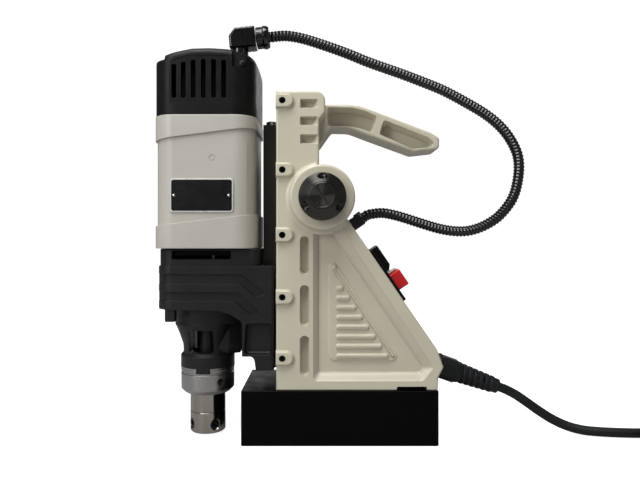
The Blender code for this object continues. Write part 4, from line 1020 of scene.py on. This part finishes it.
def make_switches():
    panel = slope_solid("switch_panel_fine", (68, 122.4), (-25, 25), (0.3, 3.6), 2.2, 0.7)
    cut(panel, slope_solid("window", (72, 88.4), (-11, 11), (-5, 8), 0.8),
        slope_solid("window", (96, 113.4), (-20.6, -1.4), (-5, 8), 1.2),
        slope_solid("window", (96, 113.4), (1.4, 20.6), (-5, 8), 1.2))
    fit(panel, NYLON, "switch_plastic", "frame", "switch_panel")

    profile = [(69, 3.9), (93.5, 3.9), (93.5, 6.6), (89.4, 10.2), (69, 10.2)]
    block = slope_extrusion("switch_block_fine", profile, 13, 0.9)
    cut(block, slope_solid("room", (72.9, 87.5), (-10, 10), (-5, 15), 0.6))
    fit(block, NYLON, "switch_plastic", "frame", "switch_block")

    profile = [(74.1, 4.7), (86.3, 4.7), (86.3, 9.9, 0.9), (80.2, 8.9, 8), (74.3, 11.1, 0.9)]
    rocker = slope_extrusion("magnet_rocker_fine", profile, 9, 0.6)
    join(rocker, *[slope_solid("grip", (down - 0.4, down + 0.4), (-6, 6), (top - 1.5, top + 0.35), 0.35, 0.2)
                   for down, top in ((76.4, 10.1), (84.4, 9.4))])
    fit(rocker, NYLON, "rocker_plastic", "magnet_rocker", "magnet_rocker")

    for node, surface, slot, across, height in (
            ("stop_button", RED, "stop_plastic", (-20, -2), 14),
            ("start_button", GREEN, "start_plastic", (2, 20), 9.5)):
        button = slope_solid(node + "_fine", (96.6, 112.8), across, (-4, height), 1.6, 0.9)
        middle = sum(across) / 2
        width = (middle - 6.6, middle + 6.6)
        dish = slope_solid("dish", (99.4, 110), width, (height - 0.5, height + 3), 3, 0.0)
        cut(button, dish)
        fit(button, surface, slot, node, node)
        if node == "stop_button":
            tab = slope_solid("stop_guard", (94.4, 96.2), (-15, -7), (3.7, 12), 0.6, 0.5)
            fit(tab, PALE, "rocker_plastic", "frame")


def make_gland():
    """A square gland on the slope with a clip at its outer end."""
    body = slope_solid("conduit_gland_fine", (35.2, 46.6), (-6, 6), (0.3, 13.6), 1.6, 1.0)
    flange = slope_solid("flange", (34.2, 47.6), (-7, 7), (0.3, 1.9), 2, 0.5)
    clip = slope_solid("clip", (33.9, 36.4), (-2.4, 2.4), (8.4, 15.2), 0.5, 0.5)
    foot = slope_point(GLAND_DOWN, 0.3)
    collar = lathe("collar", [(0, 0), (5.4, 0), (5.4, 4.4, 0.5), (0, 4.4)], slope_point(GLAND_DOWN, 10),
                   SLOPE_OUT, 40)
    spigot = lathe("spigot", [(0, -9), (4.2, -9), (4.2, 2), (0, 2)], foot, SLOPE_OUT, 32)
    join(body, flange, clip, collar, spigot)
    bore = [(0, -12), (3, -12), (3, 10), (4.2, 10.4), (4.2, 20), (0, 20)]
    cut(body, lathe("bore", bore, foot, SLOPE_OUT, 32))
    fit(body, GLOSSY_NYLON, "switch_plastic", "frame", "conduit_gland")


def make_relief():
    """The strain relief: a flange, a box with a raised patch, ribs and a tapered end."""
    across = Vector((0, 1, 0))
    up = LEAD_DIRECTION.cross(across) * -1

    def placed(u, v, along):
        return LEAD_ROOT + LEAD_DIRECTION * along + across * u + up * v

    def turned(name, profile, steps=48):
        return lathe(name, profile, LEAD_ROOT, LEAD_DIRECTION, steps)

    body = turned("lead_strain_relief_fine", [
        (0, -8), (6.5, -8), (6.5, 5), (11.2, 5, 0.8), (11.2, 7.6, 0.8), (9.7, 8.2, 0.4), (9.7, 27),
        (8.5, 29, 0.5), (8.2, 33), (6.9, 59), (6.6, RELIEF_LENGTH, 1), (0, RELIEF_LENGTH),
    ])
    box = solid("box", rectangle((-9.3, -9.3), (9.3, 9.3), 3.5),
                [(7, 0), (24.5, -0.2), (26, -0.6), (27.4, -1.8)], placed)
    rounded_ends = [(9.2, -0.6), (9.8, 0), (23, 0), (23.7, -0.6)]
    patch = solid("patch", rectangle((-7, -10.2), (7, 10.2), 1.2), rounded_ends, placed)
    side_patch = solid("side_patch", rectangle((-10.2, -6.2), (10.2, 6.2), 1.2), rounded_ends, placed)
    ribs = []
    for index in range(RELIEF_RIBS):
        start = 29.4 + 5.4 * index
        end = start + 3.7
        radius = 9.4 - 0.32 * index
        ribs.append(turned("rib", [(0, start), (radius, start, 0.7), (radius - 0.2, end, 0.7), (0, end)]))
    join(body, box, patch, side_patch, *ribs)
    far = RELIEF_LENGTH + 5
    cut(body, turned("bore", [(0, -12), (4.6, -12), (4.6, far), (0, far)], 32))
    fit(body, RUBBER, "lead_rubber", "frame", "lead_strain_relief")


make_magnet()
make_rear_cover()
make_switches()
make_gland()
make_relief()


# ---------------------------------------------------------------- motor

def motor_square(half, radius):
    return box_outline(MOTOR_X - half, MOTOR_X + half, half, radius)


def soften(piece, width, angle):
    """Bevels a piece's edges that are sharper than an angle in degrees."""
    bevel = piece.modifiers.new("edge", "BEVEL")
    bevel.width = width * MM
    bevel.segments = 2
    bevel.limit_method = "ANGLE"
    bevel.angle_limit = math.radians(angle)


def make_shroud():
    """The motor's cover: a box with a proud band at each end, their edges sloping down to the front."""
    inside = MOTOR_HALF - 4
    body = solid("motor_shroud_skin", motor_square(MOTOR_HALF - 0.5, 17.5),
                 walls(SHROUD_LOW.z, SHROUD_HIGH.z, 0.4, 0.4))
    upper = solid("upper_band", motor_square(MOTOR_HALF + 1.2, 19), walls(240, SHROUD_HIGH.z, 0, 0.9))
    lower = solid("lower_band", motor_square(MOTOR_HALF + 1.2, 19), walls(SHROUD_LOW.z, 215, 0.9, 0))
    for band, middle, slope, side in ((upper, 268.4, 0.128, -1), (lower, 194.2, 0.116, 1)):
        outline = [(MOTOR_X - 80, middle - 80 * slope), (MOTOR_X + 80, middle + 80 * slope),
                   (MOTOR_X + 80, middle + side * 90), (MOTOR_X - 80, middle + side * 90)]
        cut(band, solid("band_edge", outline, [(-80, 0), (80, 0)], on_y))
        soften(band, 0.55, 50)
    seam = solid("seam", motor_square(MOTOR_HALF + 0.1, 18.2), walls(197, 262, 0.2, 0.2))
    common(seam, solid("side_rim", box_outline(MOTOR_X + 36, MOTOR_X + 37.2, 60), [(190, 0), (268, 0)]))
    join(body, upper, lower, seam)
    room = solid("room", motor_square(inside, 16), [(SHROUD_LOW.z - 5, 0), (SHROUD_HIGH.z + 5, 0)])
    dimple = lathe("dimple", [(1.5, -0.5), (3.2, -0.5), (3.5, 0.6), (3.5, 3), (1.5, 3), (1.2, 0.6)],
                   (-109, -MOTOR_HALF + 0.4, 247), (0, -1, 0), 40)
    cut(body, room, dimple)
    fit(body, SHROUD, "shroud_plastic", "carriage", "motor_shroud")


def make_label():
    """A plain black plate with a pale border and two rivets; the real one's print is left out."""
    face = -MOTOR_HALF + 0.2
    plate = solid("rating_plate_fine", rectangle((-145.4, 200.7), (-91, 229.8), 3),
                  [(face, 0), (face - 0.55, 0), (face - 0.75, -0.2)], on_y)
    fit(plate, LABEL_PALE, "label", "carriage", "rating_plate")
    field = solid("rating_plate_field", rectangle((-144.1, 202.0), (-92.3, 228.5), 2),
                  [(face - 0.5, 0), (face - 0.86, 0), (face - 0.9, -0.05)], on_y)
    fit(field, LABEL_BLACK, "label", "carriage")
    for number, place in enumerate((-141.7, -94.7), 1):
        rivet = lathe("plate_rivet_%d" % number, [(0, 0), (1.15, 0), (1.05, 0.35, 0.1), (0, 0.6)],
                      (place, face - 0.8, 215.2), (0, -1, 0), 24)
        fit(rivet, BRIGHT, "bright_steel", "carriage")


# (place along X, height) of the cap's top over its edges
CAP_TOPS = (
    (-160, 333.2), (-150, 336), (-140, 338.6), (-127, 341.2), (-112, 341.6), (-96, 340.6), (-80, 336.8),
    (-71, 332.5),
)
CAP_HALF = MOTOR_HALF + 0.6
CAP_EDGE = 5
CAP_SCREW = (-83.6, 328.6)
# (place, height of the top) of each vent
VENTS = ((-142, 327.4), (-133.9, 329.2), (-125.4, 331), (-116.8, 331.6), (-108, 331.6), (-99.4, 331))
STEM_X = -91


def cap_top(x, y):
    """The cap's height, crowned across."""
    for (start, low), (end, high) in zip(CAP_TOPS, CAP_TOPS[1:]):
        if x <= end:
            break
    share = min(1, max(0, (x - start) / (end - start)))
    return low + (high - low) * share + 3.6 * (1 - (y / 44.5) ** 2)


def cap_rings():
    """The cap's outline from its foot to its crown, with points a few millimetres apart."""
    outline = rounded(motor_square(CAP_HALF, 18.5), 12)
    dense = []
    for index, point in enumerate(outline):
        after = outline[(index + 1) % len(outline)]
        count = max(1, round((after - point).length / 3))
        dense += [point.lerp(after, step / count) for step in range(count)]
    rings = [[on_z(*point, CAP_BASE) for point in grown(dense, -0.5)],
             [on_z(*point, CAP_BASE + 0.5) for point in dense], [on_z(*point, 322) for point in dense]]
    centre = Vector((MOTOR_X, 0))

    def add_ring(scale, drop):
        ring = []
        for point in dense:
            moved = centre + (point - centre) * scale
            ring.append(on_z(*moved, cap_top(moved.x, moved.y) - drop))
        rings.append(ring)

    for step in range(7):
        turn = math.pi / 2 * step / 6
        add_ring(1 - CAP_EDGE * (1 - math.cos(turn)) / CAP_HALF, CAP_EDGE * (1 - math.sin(turn)))
    for scale in (0.7, 0.5, 0.3, 0.12):
        add_ring((1 - CAP_EDGE / CAP_HALF) * scale, 0)
    return rings


def make_cap():
    """The vented cap, crowned across and falling away to the front."""
    body = loft("motor_cap_skin", cap_rings())
    room = solid("cap_room", motor_square(CAP_HALF - 4, 16),
                 [(CAP_BASE - 5, 0), (326, 0), (330, -4), (333, -14)])
    panels = []
    vents = []
    for side in (-1, 1):
        panels.append(solid("panel", [
            (-147, 294.5, 2), (-94.6, 294.5, 2), (-94.6, 334.5, 3), (-130, 335, 10), (-147, 329.4, 4),
        ], [(side * 48, 0.5), (side * 44.6, 0.5), (side * 43.8, 0)], on_y))
        panels.append(solid("corner_notch", [(-92.2, 325.4, 1), (-60, 325.4), (-60, 360), (-92.2, 360)],
                            [(side * 60, 0), (side * 41.2, 0), (side * 40.6, -0.6)], on_y))
    panels.append(solid("front_shoulder", box_outline(-170, -150.2, 60),
                        [(331.6, -0.7), (332.3, 0), (360, 0)]))
    for place, top in VENTS:
        corners = rectangle((place - 2.05, 298.7), (place + 2.05, top), 1.3)
        vents.append(solid("vent", corners, [(-60, 0), (-44, 0), (44, 0), (60, 0)], on_y))
        for side in (-1, 1):
            mouth = [(side * 46, 0.9), (side * 44.4, 0.6), (side * 43.7, -0.1)]
            vents.append(solid("mouth", corners, mouth, on_y))
    cut(body, room, *panels)
    cut(body, *vents, upright("stem_hole", [(0, 320), (6, 320), (6, 360), (0, 360)], STEM_X, 32))
    fit(body, NYLON, "cap_plastic", "carriage", "motor_cap")
    # Painted shade: the baffle behind the vents takes the near-black magnet enamel so that the vents read as
    # dark as the shade inside the cap.
    baffle = solid("motor_baffle_painted_shade", motor_square(33, 13),
                   [(289.5, -1), (290.5, 0), (322, -1), (328, -4), (331, -10)])
    fit(baffle, MAGNET_BLACK, "cap_plastic", "carriage")
    for number, side in enumerate((-1, 1), 1):
        place, axis = (CAP_SCREW[0], side * 41.4, CAP_SCREW[1]), (0, side, 0)
        profile = [(0, -1), (2.6, -1), (2.6, 0.8, 0.5), (0, 1.5)]
        screw = lathe("cap_screw_%d" % number, profile, place, axis, 28)
        cut(screw, lathe("recess", [(0, 0.4), (1.1, 0.6), (1.2, 3), (0, 3)], place, axis, 6))
        fit(screw, SCREW_BLACK, "black_screw", "carriage")


NUT_FLUTES = 18


def make_elbow():
    """The swivelling elbow on the cap and the nut on the conduit."""
    def along(u, v, y):
        return ELBOW_START + ELBOW_DIRECTION * u + ELBOW_UP * v + Vector((0, y, 0))

    def around(y, v, u):
        return along(u, v, y)

    outline = [(0.2, -8), (0.5, 2.6), (6.4, 9.3), (24.6, 9.3), (24.6, -9.3), (3, -9.3)]
    body = solid("conduit_elbow_fine", outline, walls(-9.3, 9.3, 2.2, 2.2), along)
    stem = upright("stem", [
        (0, 340), (8.6, 340), (8.6, 345.5, 1), (7.6, 346.5), (7.6, 358), (0, 358),
    ], STEM_X, 48)
    spigot = upright("spigot", [(0, 334), (5.5, 334), (5.5, 346), (0, 346)], STEM_X, 40)
    square = rectangle((-9.8, -9.8), (9.8, 9.8), 3)
    bands = [solid("band", square, [(u, -0.6), (u + 0.4, 0), (u + 1.3, 0), (u + 1.7, -0.6)], around)
             for u in (12.4, 16.4, 20.4)]
    join(body, stem, spigot, *bands)
    cut(body, lathe("bore", [(0, 12), (4, 12), (4, 40), (0, 40)], ELBOW_START, ELBOW_DIRECTION, 32))
    fit(body, GLOSSY_NYLON, "conduit_plastic", "carriage", "conduit_elbow")

    mouth = ELBOW_START + ELBOW_DIRECTION * 25.3
    nut = lathe("conduit_nut_fine", [
        (5.3, 12), (9.2, 12, 1), (10.4, 9.4), (10.6, 7, 0.6), (9.7, 5.8, 0.4), (9.9, 0, 0.5), (4, 0), (4, 8),
        (5.3, 8),
    ], mouth, ELBOW_DIRECTION, 48)
    flutes = []
    for step in range(NUT_FLUTES):
        angle = 2 * math.pi * step / NUT_FLUTES
        spot = mouth + (ELBOW_UP * math.cos(angle) + Vector((0, 1, 0)) * math.sin(angle)) * 10.5
        flutes.append(lathe("flute", [(0, -1), (0.9, -1), (0.9, 4.6), (0, 5.2)], spot, ELBOW_DIRECTION, 10))
    cut(nut, *flutes)
    fit(nut, GLOSSY_NYLON, "conduit_plastic", "carriage", "conduit_nut")


make_shroud()
make_label()
make_cap()
make_elbow()


# ---------------------------------------------------------------- gear case and spindle end

def egg(first_radius, second_radius, steps=14):
    """The outline round two circles, one on the spindle's axis and one on the lay shaft's."""
    spread = math.acos((first_radius - second_radius) / (LAY_X - SPINDLE_X))
    points = []
    for step in range(2 * steps + 1):
        angle = spread + (2 * math.pi - 2 * spread) * step / (2 * steps)
        points.append((SPINDLE_X + first_radius * math.cos(angle), first_radius * math.sin(angle)))
    for step in range(steps + 1):
        angle = -spread + 2 * spread * step / steps
        points.append((LAY_X + second_radius * math.cos(angle), second_radius * math.sin(angle)))
    return points


CASE_PLAN = [(CASE_FRONT, -CASE_HALF, 14), (-57, -CASE_HALF, 2.4), (-57, CASE_HALF, 2.4),
             (CASE_FRONT, CASE_HALF, 14)]
CASE_PROFILE = [
    (-170, 116.6), (-154, 116.6), (-105, 115.4, 3), (-95, 112.3, 4), (-86, 107, 3), (-84.6, 104, 1.5),
    (-84.6, 76, 1), (-74.4, 76, 4), (-72.5, 64, 1), (-57, 64), (-50, 64), (-50, 170), (-170, 170),
]
CASE_GROOVES = (
    [(-175, 139.2), (-85.4, 139.2, 2), (-73, 128, 2), (-63.6, 130.2, 2), (-84.5, 146.7, 2), (-175, 146.7)],
    [(-175, 124.5), (-90.6, 124.5, 2), (-76.7, 112.3, 2), (-67.6, 112.3, 2), (-87, 131, 2), (-175, 131)],
)
WEB_PLAN = [(-110, -18.6), (-99, -17, 4.5), (-86.4, -10, 5), (-86.4, 10, 5), (-99, 17, 4.5), (-110, 18.6)]


def wrapped_groove(corners, side):
    """A cutter that leaves a channel of one depth in one side of the case and its front corner."""
    plan = [(CASE_FRONT, -CASE_HALF, 14), (-30, -CASE_HALF, 4), (-30, CASE_HALF, 4),
            (CASE_FRONT, CASE_HALF, 14)]
    shell = solid("groove", plan, [(60, 6), (175, 6)])
    cut(shell, solid("core", plan, [(50, -2), (185, -2)]))
    return common(shell, solid("window", corners, [(side * 60, 0.5), (side * 26, 0.5)], on_y))


def case_rooms():
    """What the case is hollowed with: its gears, bearings and slide."""
    inner = box_outline(-153, -77, 33)
    inner = [(*inner[0], 9), (*inner[1], 6), (*inner[2], 6), (*inner[3], 9)]
    return [
        solid("case_room", inner, [(121, 0), (CASE_TOP + 5, 0)]),
        solid("sump_room", egg(26, 12), [(110, 0), (122, 0)]),
        solid("slide_room", box_outline(-68.1, -50, 20.3), [(50, 0), (CASE_TOP + 5, 0)]),
        upright("case_bore", [(0, 95), (16.9, 95), (16.9, 120), (0, 120)], SPINDLE_X, 64),
        upright("lay_seat", [(0, 106.2), (5.4, 106.2), (5.4, 115), (0, 115)], LAY_X, 40),
        upright("wheel_room", [(0, 138.5), (19.4, 138.5), (19.4, 151.5), (0, 151.5)], LAY_X, 64),
    ]


def case_pockets():
    """The bracket's shallow pockets and the slots below the motor; the far slot is blind."""
    pockets = []
    for side in (-1, 1):
        pockets.append(solid("bracket_pocket", [
            (-82, 78, 2.5), (-59.5, 78, 2.5), (-59.5, 104, 2.5), (-80.6, 104, 2.5),
        ], [
            (side * 44, 1.1), (side * 38.3, 1.1), (side * 37.2, 0.2), (side * 32.5, -0.6), (side * 32, -1.4),
        ], on_y))
        floor = side * (31 if side < 0 else 34)
        pockets.append(solid("top_slot", rectangle((-145.4, 160.6), (-94.4, 167.6), 1.4), [
            (side * 44, 0.7), (side * 36.9, 0.7), (side * 36.2, 0), (floor, -0.3),
        ], on_y))
    return pockets


def make_case():
    case = solid("gear_case_skin", CASE_PLAN, [(60, 0), (153.7, 0), (154.3, -0.25), (154.5, -0.6)])
    common(case, solid("case_outline", CASE_PROFILE, walls(-CASE_HALF - 4, CASE_HALF + 4), on_y))
    for side in (-1, 1):
        cut(case, *[wrapped_groove(corners, side) for corners in CASE_GROOVES])
    soften(case, 0.7, 55)
    half = CASE_HALF - 1.2
    upper = solid("case_top", [(-158.3, -half, 13), (-69.5, -half, 6), (-69.5, half, 6), (-158.3, half, 13)],
                  walls(153, CASE_TOP, 0, 0.8))
    sump = solid("sump", egg(30, 16), [(100.8, -3.2), (101.6, -1.4), (103.5, -0.5), (119, 0.6)])
    boss = upright("lay_boss", [
        (0, 84), (5.6, 84), (7, 85.4), (9.4, 89), (10, 92), (10, 108), (0, 108),
    ], LAY_X, 48)
    web = solid("web", WEB_PLAN, [(74, -3.8), (76, -2.2), (79.5, -0.5), (84, 0), (104, 0.6)])
    cut(web, upright("web_bore", [(0, 60), (17.2, 60), (17.2, 110), (0, 110)], SPINDLE_X, 64))
    tab = solid("front_tab", rectangle((-152, -36), (-143, -28), 1.2), [(105.7, -0.8), (106.5, 0), (119, 0)])
    join(case, upper, sump, boss, web, tab)
    cut(case, *case_rooms())
    cut(case, *case_pockets())
    fit(case, CASE_BLACK, "case_enamel", "carriage", "gear_case")


def make_neck():
    """The flared neck with its drift window and key."""
    neck = upright("spindle_neck_fine", [
        (14.5, 61), (24.2, 61), (24.5, 61.6), (24.5, 72.2, 0.8), (22.3, 74.4, 0.8), (22.1, 77), (22.5, 82),
        (24, 86.6), (26, 92.4), (28.3, 98), (29.6, 100.2, 0.4), (29.6, 103.6), (16.9, 103.6), (16.9, 98.7),
        (14.5, 98.7),
    ], SPINDLE_X, 120)
    window = solid("window", rectangle((SPINDLE_X - 13.3, 75.6), (SPINDLE_X + 8.6, 96.4), 2),
                   [(-60, 0.3), (60, 0.3)], on_y)
    boss_room = upright("boss_room", [(0, 80), (10.4, 80), (10.4, 110), (0, 110)], LAY_X, 48)
    cut(neck, window, boss_room)
    key = solid("key", rectangle((SPINDLE_X - 6, -24.4), (SPINDLE_X + 6, -20.2), 0.6),
                [(58.2, -0.3), (58.5, 0), (63, 0)])
    join(neck, key)
    fit(neck, CASE_BLACK, "case_enamel", "carriage", "spindle_neck")


def key_slot(half, front, back, low):
    """A cutter for the neck's key, in front of the spindle."""
    return solid("slot", [(SPINDLE_X - half, front), (SPINDLE_X + half, front), (SPINDLE_X + half, back),
                          (SPINDLE_X - half, back)], [(low, 0), (66, 0)])


def make_ring():
    """The coolant ring with its inlet, and the bright chamfer above it."""
    ring = upright("coolant_ring_fine", [
        (16.5, 38), (20.2, 38), (20.8, 38.4), (24.2, 41.8, 0.5), (24.3, 55.8, 0.3), (23.5, 56.3),
        (23.5, 57.3),
        (24.3, 57.8, 0.2), (24.3, 60.4, 0.2), (23.9, 60.7), (16.5, 60.7),
    ], SPINDLE_X, 120)
    inlet = lathe("inlet", [(0, 10), (2.2, 10), (2.2, 21), (3.2, 23), (3.2, 30), (0, 30)],
                  (SPINDLE_X, 0, 49.5), outward_at(38), 32)
    cut(ring, key_slot(6.4, -30, -19.5, 57.6), inlet)
    fit(ring, STEEL_RING, "bright_steel", "carriage", "coolant_ring")
    chamfer = upright("collar_chamfer", [
        (23.4, 60.72), (24.35, 60.72), (24.62, 61.2), (24.62, 62.0), (23.4, 62.0),
    ], SPINDLE_X, 120)
    cut(chamfer, key_slot(6.2, -40, -10, 55))
    fit(chamfer, STEEL_RING, "bright_steel", "carriage")


ARBOR_SCREW_ANGLES = (35, -55)
ARBOR_SCREW_HEIGHT = 9.7


def outward_at(angle):
    """The direction out of the spindle at an angle, in degrees, from the near side."""
    turn = math.radians(angle)
    return Vector((math.sin(turn), -math.cos(turn), 0))


def make_arbor():
    arbor = upright("arbor_sleeve_fine", [
        (0, 57.5), (15.2, 57.5), (16, 56.7), (16, 21.4), (15.6, 21.0), (15.6, 20.4), (16, 20), (16, 2.8),
        (15, 1.7, 0.3), (10.2, 1.6), (9.6, 2.2), (9.6, 50), (0, 50),
    ], SPINDLE_X, 120)
    centre = Vector((SPINDLE_X, 0, ARBOR_SCREW_HEIGHT))
    hole = [(0, 5), (4.4, 5), (4.4, 15.2), (5.1, 15.9), (5.1, 20), (0, 20)]
    cut(arbor, *[lathe("hole", hole, centre, outward_at(angle), 48) for angle in ARBOR_SCREW_ANGLES])
    fit(arbor, STEEL_Z, "bright_steel", "spindle", "arbor_sleeve")
    for number, angle in enumerate(ARBOR_SCREW_ANGLES, 1):
        outward = outward_at(angle)
        node = "arbor_screw_%d" % number
        hex_screw(node + "_fine", 4.2, centre + outward * 15.2, -outward, 5.2, 2.2, "spindle", node)


def make_slide():
    base = (SLIDE_SCREW_X, 0, SLIDE_TOP + 0.3)
    screw = lathe("slide_stop_screw_fine", [
        (0, 6), (4.4, 6, 0.4), (5, 5.4), (5, 0), (2.5, 0), (2.5, -11), (0, -11),
    ], base, steps=56)
    cut(screw, hex_socket(base, (0, 0, 1), ((9, 2.3), (3, 2.3), (2.2, 0.3)), side=(1, 0, 0)))
    fit(screw, BRIGHT, "bright_steel", "carriage", "slide_stop_screw")


make_case()
make_neck()
make_ring()
make_arbor()
make_slide()


# ---------------------------------------------------------------- CAD nodes that keep their shape

KEPT = {
    RESIN: ("potting_front", "potting_rear"),
    COPPER: ("magnet_coil_front", "magnet_coil_rear", "commutator"),
    BOARD: ("control_board",),
    BRONZE: ("feed_bush_near", "feed_bush_far", "brush_near", "brush_far"),
    SLIDE_DARK: ("slide_plate", "gib_strip"),
    # Painted shade: the spindle shaft, seen through the drift window, takes the black case enamel so that the
    # window reads dark.
    CASE_BLACK: ("spindle_shaft",),
    MAGNET_BLACK: ("bearing_plate",),
    NYLON: ("motor_end_frame", "motor_fan"),
    STEEL_Z: ("spindle_bearing", "armature_bearing", "stator", "armature"),
    BRIGHT: ("lay_shaft", "lay_gear", "spindle_gear", "feed_shaft", "feed_rack"),
}


def dress_kept_nodes():
    for surface, names in KEPT.items():
        for name in names:
            node = bpy.data.objects[name]
            node.data.materials.clear()
            node.data.materials.append(surface)


dress_kept_nodes()
